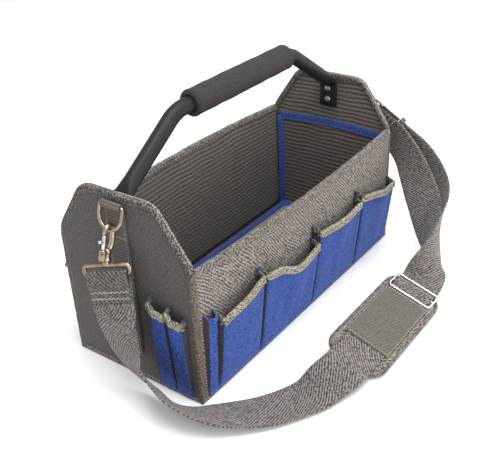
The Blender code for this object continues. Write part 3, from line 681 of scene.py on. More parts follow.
@dataclass(frozen=True)
class ClothFinish:
    """A woven cloth, tape or webbing: thread colours, weave, ribs and fading."""

    name: str
    slot: str
    light: Triple
    dark: Triple
    pitch: float = 0.0022
    pattern: Pattern = Pattern.PLAIN
    rib_pitch: float = 0.0
    rib_lean: float = 0.0
    rib_share: float = 0.0
    waviness: float = 0.25
    unevenness: float = 0.35
    relief: float = 0.0005
    strength: float = 0.55
    roughness: float = 0.85
    sheen: float = 0.15
    fading: float = 0.3
    speckle: float = 0.35
    speck_scale: float = 420.0
    across: Across = Across.UV

    def make(self) -> Material:
        """Build the material."""
        bench = FinishBench(self.name, self.across)
        m = partial(add_math, bench.tree)
        weave = bench.group(KIT.weave, bench.flat, Pitch=self.pitch, Twill=self.pattern.value,
                            Unevenness=self.unevenness)
        height, shade = weave.outputs["Height"], weave.outputs["Shade"]
        if self.rib_share:
            ribs = bench.group(KIT.ribs, bench.flat, Pitch=self.rib_pitch, Lean=self.rib_lean,
                               Waviness=self.waviness).outputs["Height"]
            keep = 1 - self.rib_share
            height = m("ADD", m("MULTIPLY", height, keep), m("MULTIPLY", ribs, self.rib_share))
            shade = m("ADD", m("MULTIPLY", shade, keep), m("MULTIPLY", ribs, self.rib_share))
        wear = bench.group(KIT.wear, bench.object, Speck_Scale=self.speck_scale)
        flecks = m("SUBTRACT", bench.ramp(wear.outputs["Speck"], 0.36, 0.64), 0.5)
        shade = m("MULTIPLY_ADD", flecks, self.speckle, shade)
        threads = bench.blend(bench.ramp(shade, 0.15, 0.85), self.dark, self.light)
        grey = tuple(0.6 * a + 0.4 * b for a, b in zip(self.dark, self.light))
        fade = m("MULTIPLY", bench.ramp(wear.outputs["Patch"], 0.35, 0.75), self.fading)
        faded = bench.blend(fade, threads, grey)
        bench.colour(faded)
        bench.rough(wear.outputs["Speck"], self.roughness - 0.08, min(self.roughness + 0.1, 1.0))
        bench.bump(height, self.relief, self.strength)
        bench.shader.inputs["Sheen Weight"].default_value = self.sheen
        bench.shader.inputs["Sheen Roughness"].default_value = 0.5
        return bench.material


@dataclass(frozen=True)
class MetalFinish:
    """Bright plated metal with faint scratches and dull spots."""

    name: str
    slot: str
    colour: Triple
    tarnish: Triple
    roughness: float = 0.16

    def make(self) -> Material:
        """Build the material."""
        bench = FinishBench(self.name)
        wear = bench.group(KIT.wear, bench.object, Patch_Scale=90, Speck_Scale=1400)
        bench.colour(bench.blend(bench.ramp(wear.outputs["Patch"], 0.4, 0.75), self.colour, self.tarnish))
        bench.shader.inputs["Metallic"].default_value = 1.0
        bench.rough(wear.outputs["Patch"], self.roughness, self.roughness + 0.18)
        bench.bump(wear.outputs["Speck"], 0.0001, 0.12)
        return bench.material


@dataclass(frozen=True)
class PaintFinish:
    """Satin powder coat: fine orange peel and rubbed patches."""

    name: str
    slot: str
    colour: Triple
    rubbed: Triple
    roughness: float = 0.42

    def make(self) -> Material:
        """Build the material."""
        bench = FinishBench(self.name)
        wear = bench.group(KIT.wear, bench.object, Patch_Scale=40, Speck_Scale=900)
        bench.colour(bench.blend(bench.ramp(wear.outputs["Patch"], 0.45, 0.8), self.colour, self.rubbed))
        bench.rough(wear.outputs["Patch"], self.roughness, self.roughness + 0.14)
        bench.bump(wear.outputs["Speck"], 0.0002, 0.18)
        bench.shader.inputs["Specular IOR Level"].default_value = 0.28
        return bench.material


@dataclass(frozen=True)
class FoamFinish:
    """Closed cell foam: matte, pitted and a little dusty."""

    name: str
    slot: str
    colour: Triple
    dust: Triple

    def make(self) -> Material:
        """Build the material."""
        bench = FinishBench(self.name)
        wear = bench.group(KIT.wear, bench.object, Patch_Scale=55, Speck_Scale=650)
        cells = add_node(bench.tree, "ShaderNodeTexVoronoi", {"Scale": 700.0, "Vector": bench.object})
        speckled = bench.blend(bench.ramp(wear.outputs["Speck"], 0.35, 0.75), self.colour, self.dust)
        bench.colour(speckled)
        bench.rough(wear.outputs["Patch"], 0.82, 0.98)
        pits = add_math(bench.tree, "ADD", cells.outputs["Distance"], wear.outputs["Speck"])
        bench.bump(pits, 0.0006, 0.5)
        return bench.material


class Finishes:
    """Every finish on the bag, each built when it is first asked for."""

    ALL = (
        ClothFinish("outer_cloth", "grey_fabric", (0.285, 0.247, 0.218), (0.012, 0.01, 0.009), 0.003,
                    Pattern.TWILL, 0.0046, 1.1, 0.62, 0.9, fading=0.2, speckle=0.7),
        # The end walls' grey fabric: a darker copy of outer_cloth, its extra darkness painted shade.
        ClothFinish("gable_cloth", "grey_fabric", (0.092, 0.076, 0.07), (0.016, 0.013, 0.012), 0.0028,
                    Pattern.TWILL, 0.0044, -1.2, 0.45, 0.5, fading=0.4, speckle=0.6),
        ClothFinish("base_cloth", "grey_fabric", (0.16, 0.135, 0.115), (0.04, 0.033, 0.028), 0.0026,
                    across=Across.FLOOR),
        ClothFinish("binding_cloth", "grey_trim", (0.205, 0.175, 0.15), (0.016, 0.013, 0.011), 0.0034,
                    Pattern.PLAIN, 0.0046, 0.8, 0.3, 0.6, unevenness=0.9, relief=0.0009, strength=0.8,
                    speckle=0.95),
        ClothFinish("gable_edge", "grey_trim", (0.15, 0.132, 0.116), (0.007, 0.006, 0.006), 0.0034,
                    Pattern.PLAIN, 0.004, 0.8, 0.3, 0.6, unevenness=0.9, relief=0.0009, strength=0.8,
                    fading=0.1, speckle=1.0),
        ClothFinish("corner_piping", "grey_trim", (0.15, 0.112, 0.082), (0.022, 0.015, 0.012), 0.0026,
                    Pattern.PLAIN, 0.0036, 0.6, 0.4, 0.5, fading=0.1, speckle=0.8),
        ClothFinish("ribbed_lining", "lining_cloth", (0.15, 0.124, 0.11), (0.02, 0.016, 0.015), 0.003,
                    Pattern.PLAIN, 0.0056, 0.0, 0.66, 0.22, relief=0.0006, speckle=0.3),
        ClothFinish("floor_lining_cloth", "floor_cloth", (0.235, 0.235, 0.19), (0.135, 0.138, 0.112), 0.002,
                    fading=0.6, strength=0.25),
        ClothFinish("blue_cloth", "blue_fabric", (0.026, 0.092, 0.43), (0.003, 0.012, 0.085), 0.003,
                    Pattern.PLAIN, 0.0058, 2.2, 0.55, 1.0, relief=0.0006, strength=0.45, sheen=0.04,
                    fading=0.2, speckle=0.7),
        # Near-black pocket insides and pleat side walls: painted shade over the blue cloth, not a colour of the cloth.
        ClothFinish("blue_inside", "blue_fabric", (0.02, 0.02, 0.03), (0.006, 0.007, 0.012), 0.003),
        ClothFinish("blue_woven_tape", "blue_tape", (0.03, 0.075, 0.33), (0.01, 0.024, 0.13), 0.0022,
                    Pattern.PLAIN, 0.0036, 0.0, 0.4, 0.1, sheen=0.1, speckle=0.5),
        ClothFinish("mouth_tape", "grey_trim", (0.36, 0.33, 0.25), (0.03, 0.026, 0.018), 0.003,
                    Pattern.TWILL, 0.0042, 1.0, 0.3, 0.7, unevenness=0.9, relief=0.0008, strength=0.7,
                    speckle=0.95),
        ClothFinish("strap_face", "strap_webbing", (0.228, 0.2, 0.184), (0.008, 0.007, 0.006), 0.0034,
                    Pattern.TWILL, 0.0042, 1.15, 0.65, 0.6, relief=0.0008, strength=0.7, fading=0.2,
                    speckle=0.7),
        # The strap's turned loop: a darker copy of strap_face, the darkness painted shade.
        ClothFinish("folded_webbing", "strap_webbing", (0.15, 0.13, 0.118), (0.008, 0.007, 0.006), 0.0034,
                    Pattern.TWILL, 0.0046, -0.9, 0.65, 0.5, relief=0.0009, strength=0.8, fading=0.1,
                    speckle=0.7),
        ClothFinish("strap_back", "strap_webbing", (0.125, 0.11, 0.098), (0.045, 0.038, 0.034), 0.0022,
                    Pattern.TWILL, 0.0032, 0.4, 0.4, 0.3),
        ClothFinish("anchor_webbing", "strap_webbing", (0.13, 0.11, 0.095), (0.036, 0.029, 0.025), 0.0028,
                    Pattern.TWILL, 0.0034, 0.0, 0.4, 0.1),
        ClothFinish("pad_cover", "pad_cloth", (0.23, 0.205, 0.185), (0.014, 0.012, 0.011), 0.0028,
                    Pattern.TWILL, 0.0046, 0.6, 0.5, 0.6, fading=0.2, speckle=0.9),
        ClothFinish("pad_panel_cover", "pad_cloth", (0.13, 0.114, 0.1), (0.05, 0.043, 0.037), 0.0024,
                    Pattern.PLAIN, 0.0036, 0.3, 0.25, 0.3, speckle=0.4),
        ClothFinish("pale_thread", "grey_trim", (0.58, 0.52, 0.42), (0.26, 0.22, 0.17), 0.0008),
        ClothFinish("grey_thread", "grey_trim", (0.34, 0.3, 0.26), (0.11, 0.09, 0.08), 0.0008),
        ClothFinish("dark_thread", "grey_trim", (0.03, 0.026, 0.022), (0.012, 0.01, 0.009), 0.0008),
        MetalFinish("plated_steel", "steel", (0.78, 0.77, 0.75), (0.48, 0.45, 0.41)),
        MetalFinish("brassy_steel", "steel", (0.5, 0.4, 0.31), (0.16, 0.11, 0.08), 0.24),
        MetalFinish("dull_steel", "steel", (0.36, 0.35, 0.34), (0.16, 0.15, 0.14), 0.34),
        PaintFinish("black_coat", "tube_paint", (0.008, 0.0066, 0.006), (0.014, 0.011, 0.01)),
        FoamFinish("grip_foam_cells", "grip_foam", (0.011, 0.009, 0.008), (0.038, 0.031, 0.027)),
    )

    def __init__(self) -> None:
        """Index the finishes by name."""
        self.known = {finish.name: finish for finish in self.ALL}
        self.made: dict[str, Material] = {}

    def get(self, name: str) -> Material:
        """The material of a finish."""
        if name not in self.made:
            self.made[name] = self.known[name].make()
        return self.made[name]

    def dress(self, obj: Object, name: str, inside: str | None = None) -> Object:
        """Give a piece its finish.

        Args:
            obj: The piece.
            name: The finish of its outside.
            inside: The finish of a sheet's second side, if it differs.

        Returns:
            The piece.
        """
        materials = obj.data.materials
        names = [name, inside or name]
        if not materials:
            materials.append(self.get(name))
        for number in range(len(materials)):
            materials[number] = self.get(names[min(number, 1)])
        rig.slot(obj, self.known[name].slot)
        return obj


FINISHES = Finishes()


# ------------------------------ stitches

class Seam(Enum):
    """Kinds of stitching: lean of each stitch from the seam's line, in degrees."""

    STRAIGHT = 0.0
    ZIGZAG = 38.0
    CROSS = 90.0


@dataclass
class StitchRun:
    """One line of stitches on a surface."""

    points: list[Vector]
    normals: list[Vector]
    kind: Seam = Seam.STRAIGHT
    pitch: float = 0.0034
    length: float = 0.0026
    radius: float = 0.00045
    thread: str = "pale_thread"


class Needlework:
    """Sews stitch runs with one node tree."""

    def __init__(self) -> None:
        """Build the node tree."""
        self.tree = self.build_tree()

    @staticmethod
    def build_tree() -> NodeTree:
        """Node tree that sets stitches along edges and turns them to the surface."""
        tree = bpy.data.node_groups.new("stitch line", "GeometryNodeTree")
        face = tree.interface
        face.new_socket("Geometry", in_out="INPUT", socket_type="NodeSocketGeometry")
        for label, value in (("Pitch", 0.003), ("Length", 0.0025), ("Radius", 0.0004), ("Lean", 0.0)):
            face.new_socket(label, in_out="INPUT", socket_type="NodeSocketFloat").default_value = value
        face.new_socket("Material", in_out="INPUT", socket_type="NodeSocketMaterial")
        face.new_socket("Geometry", in_out="OUTPUT", socket_type="NodeSocketGeometry")
        node = partial(add_node, tree)
        take = node("NodeGroupInput").outputs
        line = node("GeometryNodeMeshToCurve", {0: take["Geometry"]})
        even = node("GeometryNodeResampleCurve", mode="LENGTH")
        tree.links.new(line.outputs[0], even.inputs["Curve"])
        tree.links.new(take["Pitch"], even.inputs["Length"])
        bead = node("GeometryNodeMeshUVSphere", {"Segments": 6, "Rings": 4, "Radius": 1.0})
        soft = node("GeometryNodeSetShadeSmooth", {0: bead.outputs["Mesh"]})
        tangent = node("GeometryNodeInputTangent").outputs[0]
        normal = node("GeometryNodeInputNamedAttribute", {"Name": "face_normal"}, data_type="FLOAT_VECTOR")
        stand = node("FunctionNodeAxesToRotation", {0: tangent, 1: normal.outputs["Attribute"]},
                     primary_axis="X", secondary_axis="Z")
        parity = add_math(tree, "FLOORED_MODULO", node("GeometryNodeInputIndex").outputs[0], 2.0)
        sign = add_math(tree, "MULTIPLY_ADD", parity, 2.0, -1.0)
        angle = node("ShaderNodeCombineXYZ", {2: add_math(tree, "MULTIPLY", sign, take["Lean"])})
        turn = node("FunctionNodeEulerToRotation", {0: angle.outputs[0]})
        whole = node("FunctionNodeRotateRotation", {0: stand.outputs[0], 1: turn.outputs[0]},
                     rotation_space="LOCAL")
        half = add_math(tree, "MULTIPLY", take["Length"], 0.5)
        size = node("ShaderNodeCombineXYZ", {0: half, 1: take["Radius"], 2: take["Radius"]})
        place = node("GeometryNodeInstanceOnPoints", {
            "Points": even.outputs["Curve"], "Instance": soft.outputs[0],
            "Rotation": whole.outputs[0], "Scale": size.outputs[0]})
        real = node("GeometryNodeRealizeInstances", {0: place.outputs["Instances"]})
        dye = node("GeometryNodeSetMaterial", {"Geometry": real.outputs[0], "Material": take["Material"]})
        node("NodeGroupOutput", {0: dye.outputs[0]})
        return tree

    def sew(self, name: str, runs: Sequence[StitchRun], body: str) -> Object:
        """Sew stitch runs into one piece that rides on a body.

        Args:
            name: Name of the piece.
            runs: The lines of stitches.
            body: The body that it moves with.

        Returns:
            The piece.
        """
        sewn = []
        inputs = {item.name: item.identifier for item in self.tree.interface.items_tree
                  if item.item_type == "SOCKET" and item.in_out == "INPUT"}
        for run in runs:
            mesh = bpy.data.meshes.new(name)
            edges = [(i, i + 1) for i in range(len(run.points) - 1)]
            mesh.from_pydata([tuple(p) for p in run.points], edges, [])
            layer = mesh.attributes.new("face_normal", "FLOAT_VECTOR", "POINT")
            for item, normal in zip(layer.data, run.normals):
                item.vector = normal
            obj = linked(name, mesh)
            nodes = obj.modifiers.new("stitches", "NODES")
            nodes.node_group = self.tree
            for label, value in (("Pitch", run.pitch), ("Length", run.length), ("Radius", run.radius),
                                 ("Lean", math.radians(run.kind.value)),
                                 ("Material", FINISHES.get(run.thread))):
                nodes[inputs[label]] = value
            sewn.append(Weaver.baked(obj))
        piece = Weaver.joined(name, sewn)
        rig.slot(piece, "grey_trim")
        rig.ride(piece, body)
        LOG.info("%s: %d runs", name, len(runs))
        return piece


# ------------------------------ the bag's body

@dataclass
class BagShape:
    """Driving sizes shared by the bag's sub-assemblies."""

    length: float = 0.4
    width: float = 0.176
    wall: float = 0.158
    gable: float = 0.217
    crown: float = 0.093
    cloth: float = 0.0015
    depth: float = 0.0051

    def gable_line(self, inset: float, foot: float = 0.0) -> Outline:
        """Edge of a gable in y and z, from the front foot to the back foot."""
        side, top, crown = self.width / 2 - inset, self.gable - inset, self.crown / 2 - inset * 0.45
        shoulder = self.wall - inset * 0.35
        corners = [(-side, foot), (-side, shoulder), (-crown, top), (crown, top), (side, shoulder),
                   (side, foot)]
        return filleted(corners, 0.011, 5)

    def half_width(self, z: float, inset: float) -> float:
        """Half the gable's width at a height."""
        line = [p for p in self.gable_line(inset) if p[0] >= 0]
        line.sort(key=lambda p: p[1])
        for (y0, z0), (y1, z1) in zip(line, line[1:]):
            if z0 <= z <= z1:
                return y0 + (y1 - y0) * (z - z0) / max(z1 - z0, 1e-9)
        return line[0][0] if z < line[0][1] else line[-1][0]


class Piece:
    """Shared end of making a piece: finish, body and the node that it stands for."""

    @staticmethod
    def done(obj: Object, finish: str, body: str, *nodes: str,
             inside: str | None = None) -> Object:
        """Dress a piece, let it ride and replace its nodes.

        Args:
            obj: The piece.
            finish: Name of its finish.
            body: The body that it moves with.
            nodes: The nodes that it stands for.
            inside: Finish of a sheet's second side.

        Returns:
            The piece.
        """
        FINISHES.dress(obj, finish, inside)
        if body:
            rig.ride(obj, body)
        if nodes:
            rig.replaces(obj, *nodes)
        LOG.info("%s: %d faces", obj.name, len(obj.data.polygons))
        return obj


@dataclass
class LongWall:
    """A long wall: outer cloth, ribbed lining, bound top edge and the tape at its foot."""

    shape: BagShape
    side: int
    bow: float
    sag: float

    @property
    def name(self) -> str:
        """Front for -Y, rear for +Y."""
        return "front" if self.side < 0 else "rear"

    def swell(self, x: float, z: float) -> float:
        """How far the wall stands out of its flat place at x and at this height."""
        reach = self.shape.length / 2
        share = min(max(z / self.shape.wall, 0.0), 1.0)
        return self.bow * max(1 - (x / reach) ** 2, 0.0) * share ** 1.6

    def spot(self, x: float, t: float, depth: float) -> Vector:
        """A point of the wall at x, share t of its height and distance in from its face."""
        reach = self.shape.length / 2
        middle = 1 - (x / reach) ** 2
        z = 0.0022 + (self.shape.wall + self.sag * middle - 0.0022) * t
        y = self.shape.width / 2 - depth + self.swell(x, z)
        y += ripple(Vector((x * 1.3, self.side * 0.2, z)), 26, 0.0007) * t * (1 - abs(x / reach) ** 6)
        return Vector((x, self.side * y, z))

    def skin(self, name: str, depth: float, thickness: float, foot: float) -> Object:
        """One layer of cloth on the wall."""
        reach = self.shape.length / 2 - 0.005
        columns, rows = 90, 26
        points, uvs = [], []
        for j in range(rows + 1):
            t = foot + (0.985 - foot) * j / rows
            line = [self.spot(-reach + 2 * reach * i / columns, t, depth) for i in range(columns + 1)]
            points.append(line)
            uvs.append([(p.x, p.z) for p in line])
        return Weaver.cloth(name, points, uvs, thickness, Vector((0, self.side, 0)))

    def build(self) -> list[StitchRun]:
        """Make the wall and return its stitch runs."""
        cloth = self.shape.cloth
        outer = self.skin(f"{self.name}_wall_cloth", cloth / 2, cloth, 0.0)
        Piece.done(outer, "outer_cloth", "bag", f"{self.name}_panel")
        lining = self.skin(f"{self.name}_wall_lining", self.shape.depth - 0.0005, 0.001, 0.03)
        Piece.done(lining, "ribbed_lining", "bag", f"{self.name}_lining", f"{self.name}_board")
        reach = self.shape.length / 2 - 0.0055
        path = [self.spot(-reach + 2 * reach * i / 160, 1.0, self.shape.depth / 2) - Vector((0, 0, 0.0042))
                for i in range(161)]
        for p in path:
            p.z += ripple(p, 90, 0.0006)
        ups = [Vector((0, 0, 1))] * len(path)
        edge = Weaver.sweep(f"{self.name}_top_edge", path, ups, rounded_oblong(0.0066, 0.0092, 0.0028, 4))
        Piece.done(edge, "binding_cloth", "bag", f"{self.name}_top_binding")
        runs = []
        for face in (-1, 1):
            out = Vector((0, self.side * face, 0))
            line = [p + out * 0.00335 - Vector((0, 0, 0.0006)) for p in path]
            runs.append(StitchRun(line, [out] * len(line), Seam.ZIGZAG, 0.003, 0.0038, 0.0004,
                                  "grey_thread"))
        self.foot_tape()
        return runs

    def foot_tape(self) -> None:
        """Blue tape along the inner foot of the wall."""
        y = self.side * (self.shape.width / 2 - 0.0092)
        reach = self.shape.length / 2 - 0.0088
        path = [Vector((-reach + 2 * reach * i / 60, y - self.side * 0.004, 0.0078 + ripple(
            Vector((i * 0.02, y, 0)), 20, 0.0003))) for i in range(61)]
        tape = Weaver.sweep(f"{self.name}_foot_tape", path, [Vector((0, self.side * 0.25, 1))] * len(path),
                            flat_profile(0.0115, 0.0011))
        Piece.done(tape, "blue_woven_tape", "bag", f"{self.name}_floor_tape")


@dataclass
class GableEnd:
    """One end wall: cloth, lining, bound edge and the blue tape inside."""

    shape: BagShape
    side: int

    @property
    def name(self) -> str:
        """Name of its end of the bag."""
        return end_name(self.side)

    def skin(self, name: str, x: float, thickness: float, foot: float, facing: int) -> Object:
        """One layer of cloth cut to the gable's outline."""
        points, uvs = [], []
        top = self.shape.gable - 0.003
        for j in range(45):
            z = foot + (top - foot) * j / 44
            half = self.shape.half_width(z, 0.003)
            line = []
            for i in range(41):
                y = -half + 2 * half * i / 40
                soft = ripple(Vector((x, y * 1.2, z)), 22, 0.0006) * (1 - (y / 0.09) ** 4)
                line.append(Vector((self.side * (x + soft), y, z)))
            points.append(line)
            uvs.append([(p.y, p.z) for p in line])
        return Weaver.cloth(name, points, uvs, thickness, Vector((facing * self.side, 0, 0)))

    def build(self) -> list[StitchRun]:
        """Make the end wall and return its stitch runs."""
        half = self.shape.length / 2
        outer = self.skin(f"{self.name}_end_cloth", half - 0.0008, self.shape.cloth, 0.0022, 1)
        # The end wall's cloth is darkened as painted shade.
        Piece.done(outer, "gable_cloth", "bag", f"{self.name}_gable_panel")
        lining = self.skin(f"{self.name}_end_lining", half - 0.0046, 0.001, 0.0065, -1)
        Piece.done(lining, "ribbed_lining", "bag", f"{self.name}_gable_lining", f"{self.name}_gable_board")
        line = [Vector((self.side * (half - 0.0038), y, z)) for y, z in self.shape.gable_line(0.0038, 0.002)]
        path = spaced(line, 0.0024)
        for p in path:
            p.x += ripple(p, 120, 0.0004)
        centre = Vector((self.side * (half - 0.0038), 0, 0.1))
        ups = []
        for number, p in enumerate(path):
            along = path[min(number + 1, len(path) - 1)] - path[max(number - 1, 0)]
            out = along.cross(Vector((1, 0, 0)))
            ups.append(out if out.dot(p - centre) > 0 else -out)

        def section(number: int) -> Outline:
            """The fold's section: narrow down the corners and the front slope, wide over the crown."""
            spot = path[number]
            crest, shoulder = -0.03, 0.15
            share = 0.0 if spot.z <= shoulder else min(1.0, max(0.0, 1 - (crest - spot.y) / 0.012))
            tall = 0.005 + 0.003 * share
            return [(a, b + (0.008 - tall) / 2) for a, b in rounded_oblong(0.0086, tall, tall * 0.4, 4)]
        edge = Weaver.sweep(f"{self.name}_end_edge", path, ups, section)
        Weaver.two_slots(edge)
        for poly in edge.data.polygons:
            poly.material_index = int(poly.center.z < 0.152)
        Piece.done(edge, "gable_edge", "bag", f"{self.name}_gable_binding", inside="corner_piping")
        runs: list[StitchRun] = []
        for face in (-1, 1):
            out = Vector((face, 0, 0))
            near = [p + out * 0.0043 + up.normalized() * 0.0012 for p, up in zip(path, ups) if p.z > 0.152]
            runs.append(StitchRun(near, [out] * len(near), Seam.ZIGZAG, 0.0034, 0.0036, 0.00042,
                                  "dark_thread"))
        # A pale straight stitch line along the front slope's binding stands in for the highlight on the binding's
        # edge: painted highlight.
        slope = [(p, up) for p, up in zip(path, ups) if 0.16 < p.z < 0.214 and p.y < 0]
        rim = [p + up.normalized() * 0.0039 + Vector((-self.side * 0.0016, 0, 0)) for p, up in slope]
        runs.append(StitchRun(rim, [up for _, up in slope], Seam.STRAIGHT, 0.003, 0.0032, 0.00055))
        runs += self.tapes()
        return runs

    def tapes(self) -> list[StitchRun]:
        """Blue tape across the lining at wall height and down both corners."""
        x = self.side * (self.shape.length / 2 - 0.006)
        inward = Vector((-self.side, 0, 0))
        reach = self.shape.width / 2 - 0.009
        top = 0.1445
        across = [Vector((x, -reach + 2 * reach * i / 40, top + 0.0045 * math.sin(math.pi * i / 40)))
                  for i in range(41)]
        pieces = [Weaver.sweep("tape", across, [inward] * 41, flat_profile(0.012, 0.0011))]
        for y in (-1, 1):
            down = [Vector((x, y * (reach - 0.004), 0.0085 + (top - 0.0085) * i / 40)) for i in range(41)]
            pieces.append(Weaver.sweep("tape", down, [inward + Vector((0, -y * 0.5, 0))] * 41,
                                       flat_profile(0.011, 0.0011)))
        foot = [Vector((x - self.side * 0.003, -reach + 2 * reach * i / 40, 0.0092)) for i in range(41)]
        pieces.append(Weaver.sweep("tape", foot, [inward + Vector((0, 0, 1.5))] * 41,
                                   flat_profile(0.01, 0.0011)))
        Piece.done(Weaver.joined(f"{self.name}_corner_tape", pieces), "blue_woven_tape", "bag",
                   f"{self.name}_inner_tape")
        lines = []
        for shift in (-0.0042, 0.0042):
            line = [p + inward * 0.0007 + Vector((0, 0, shift)) for p in across]
            lines.append(StitchRun(line, [inward] * 41, Seam.ZIGZAG, 0.0034, 0.0026, 0.00035, "grey_thread"))
        return lines


@dataclass
class Floor:
    """The bag's base: outer cloth with its bound edge, and the lined floor inside."""

    shape: BagShape

    def build(self) -> list[StitchRun]:
        """Make the base and return its stitch runs."""
        half_x, half_y = self.shape.length / 2 - 0.009, self.shape.width / 2 - 0.009
        points, uvs = [], []
        for j in range(31):
            y = -half_y + 2 * half_y * j / 30
            line = []
            for i in range(61):
                x = -half_x + 2 * half_x * i / 60
                z = 0.0066 + ripple(Vector((x, y, 0.3)), 14, 0.0005)
                line.append(Vector((x, y, z)))
            points.append(line)
            uvs.append([(p.x, p.y) for p in line])
        lining = Weaver.cloth("floor_cloth_lining", points, uvs, 0.0011, Vector((0, 0, 1)))
        Piece.done(lining, "floor_lining_cloth", "bag", "floor_lining", "base_board")
        outline = rounded_oblong(self.shape.length - 0.004, self.shape.width - 0.004, 0.007, 6)
        path = [Vector((x, y, 0.0036)) for x, y in outline]
        path = spaced(path + [path[0]], 0.004)[:-2]
        ups = [Vector((0, 0, 1))] * len(path)
        welt = Weaver.sweep("base_welt", path, ups, rounded_oblong(0.005, 0.0064, 0.0022, 3), closed=True)
        Piece.done(welt, "binding_cloth", "bag")
        line = [p + (Vector((p.x, p.y, 0)) * 0.012) + Vector((0, 0, 0.0012)) for p in path]
        out = [Vector((p.x / 0.2, p.y / 0.088, 0)).normalized() for p in path]
        return [StitchRun(line, out, Seam.ZIGZAG, 0.0036, 0.0036, 0.0004, "grey_thread")]


# ------------------------------ pockets

@dataclass
class Pocket:
    """One box-pleated pocket: its seams, its mouth at each side and how far it stands off."""

    name: str
    start: float
    end: float
    mouth: tuple[float, ...]
    depth: float = 0.0125
    shade: str = "blue_cloth"
    trimmed: bool = True


@dataclass
class PocketRow:
    """A row of pockets on one face of the bag.

    place puts (along, off the wall, height) into the bag's frame.
    """

    name: str
    pockets: Sequence[Pocket]
    place: Callable[[float, float, float], Vector]
    outward: Vector
    foot: float = 0.0045
    fold: float = 0.0045
    rise: float = 0.005

    def height(self, pocket: Pocket, share: float) -> float:
        """Height of the mouth at a share of the pocket's width, run smoothly through its marks."""
        marks = [Vector((0, 0, z)) for z in pocket.mouth]
        line = smooth_route(marks, 8)
        spot = share * (len(line) - 1)
        low = min(int(spot), len(line) - 2)
        return line[low].z + (line[low + 1].z - line[low].z) * (spot - low)

    def section(self, pocket: Pocket, t: float) -> list[Triple]:
        """Points across the pocket at a height share: along, off and share of its width."""
        width = pocket.end - pocket.start
        fold = min(self.fold, width * 0.14)
        stand = pocket.depth * (0.1 + 0.9 * t ** 0.75)
        out: list[Triple] = []
        for i in range(9):
            s = i / 8
            out.append((pocket.start + 0.0012 + fold * 0.35 * s, 0.0013 + (stand - 0.0013) * s ** 0.8, 0.0))
        columns = 26
        for i in range(1, columns):
            s = i / columns
            wide = pocket.start + 0.0012 + fold * 0.35 + (width - 0.0024 - fold * 0.7) * s
            crown = 0.0016 * math.sin(math.pi * s) * t + 0.0006 * math.sin(3.2 * math.pi * s + 2) * t
            out.append((wide, stand + crown, s))
        for i in range(9):
            s = 1 - i / 8
            out.append((pocket.end - 0.0012 - fold * 0.35 * s, 0.0013 + (stand - 0.0013) * s ** 0.8, 1.0))
        return out

    def sheet(self, pocket: Pocket) -> tuple[Object, list[Vector]]:
        """The pocket's cloth and the line of its mouth."""
        rows: list[list[Vector]] = []
        uvs: list[Outline] = []
        steps = 22
        for j in range(steps + 1):
            t = j / steps
            row, uv = [], []
            run = 0.0
            before: tuple[float, float] | None = None
            for along, off, share in self.section(pocket, t):
                near_wall = max(1 - off / (pocket.depth * 0.9), 0.0) if share in (0.0, 1.0) else 0.0
                z = self.foot + (self.height(pocket, share) + self.rise * near_wall - self.foot) * t
                crease = ripple(Vector((along * 0.9, self.outward.x + self.outward.y, z * 0.7)), 34, 0.0019)
                crease += ripple(Vector((along, 3.0, z * 0.35)), 70, 0.0008)
                keep = math.sin(math.pi * min(max(t, 0.05), 0.95)) * (1.0 if 0 < share < 1 else 0.35)
                spot = self.place(along, max(off + crease * keep, 0.0012), z)
                row.append(spot)
                if before is not None:
                    run += math.hypot(along - before[0], off - before[1])
                before = (along, off)
                uv.append((pocket.start + run, z))
            rows.append(row)
            uvs.append(uv)
        # The sheet's second side, and below it the faces that turn sideways (the pleats' side walls), take the
        # near-black pocket inside finish: painted shade.
        cloth = Weaver.cloth(pocket.name, rows, uvs, 0.0013, self.outward)
        for poly in cloth.data.polygons:
            if abs(poly.normal.dot(self.outward)) < 0.62 and abs(poly.normal.z) < 0.6:
                poly.material_index = 1
        return cloth, rows[-1]

    def build(self) -> list[StitchRun]:
        """Make the row and return its stitch runs."""
        runs: list[StitchRun] = []
        trims, pleats = [], []
        for pocket in self.pockets:
            cloth, mouth = self.sheet(pocket)
            # The inside slot gets the near-black pocket inside finish, which is painted shade.
            Piece.done(cloth, pocket.shade, "bag", pocket.name, inside="blue_inside")
            if not pocket.trimmed:
                continue
            front = mouth[6:-6]
            path = [p + self.outward * 0.0003 - Vector((0, 0, 0.0036)) for p in front]
            path = smooth_route(path, 2)
            for p in path:
                p.z += ripple(p, 150, 0.0004)
            trims.append(Weaver.sweep("trim", path, [self.outward] * len(path),
                                      rounded_oblong(0.0088, 0.0032, 0.0014, 3)))
            for side in (mouth[1:8], mouth[-8:-1]):
                edge = [p - Vector((0, 0, 0.0026)) for p in side]
                ups = [(b - a).cross(Vector((0, 0, 1))) for a, b in zip(edge, edge[1:])]
                pleats.append(Weaver.sweep("trim", edge, [*ups, ups[-1]],
                                           rounded_oblong(0.007, 0.0028, 0.0012, 3)))
            for shift in (-0.003, 0.003):
                line = [p + self.outward * 0.0018 + Vector((0, 0, shift)) for p in path]
                runs.append(StitchRun(line, [self.outward] * len(line), Seam.ZIGZAG, 0.003, 0.0032, 0.0004))
        if trims:
            Piece.done(Weaver.joined(f"{self.name}_mouth_trim", trims), "mouth_tape", "bag")
            Piece.done(Weaver.joined(f"{self.name}_pleat_trim", pleats), "gable_edge", "bag")
        runs += self.seams()
        return runs

    def seams(self) -> list[StitchRun]:
        """Stitches down the pockets' seams on the wall."""
        runs = []
        marks = sorted({p.start for p in self.pockets} | {p.end for p in self.pockets})
        for mark in marks:
            line = [self.place(mark, 0.0019, self.foot + 0.004 + 0.092 * i / 40) for i in range(41)]
            runs.append(StitchRun(line, [self.outward] * 41, Seam.STRAIGHT, 0.0034, 0.0026, 0.0004,
                                  "dark_thread"))
        return runs


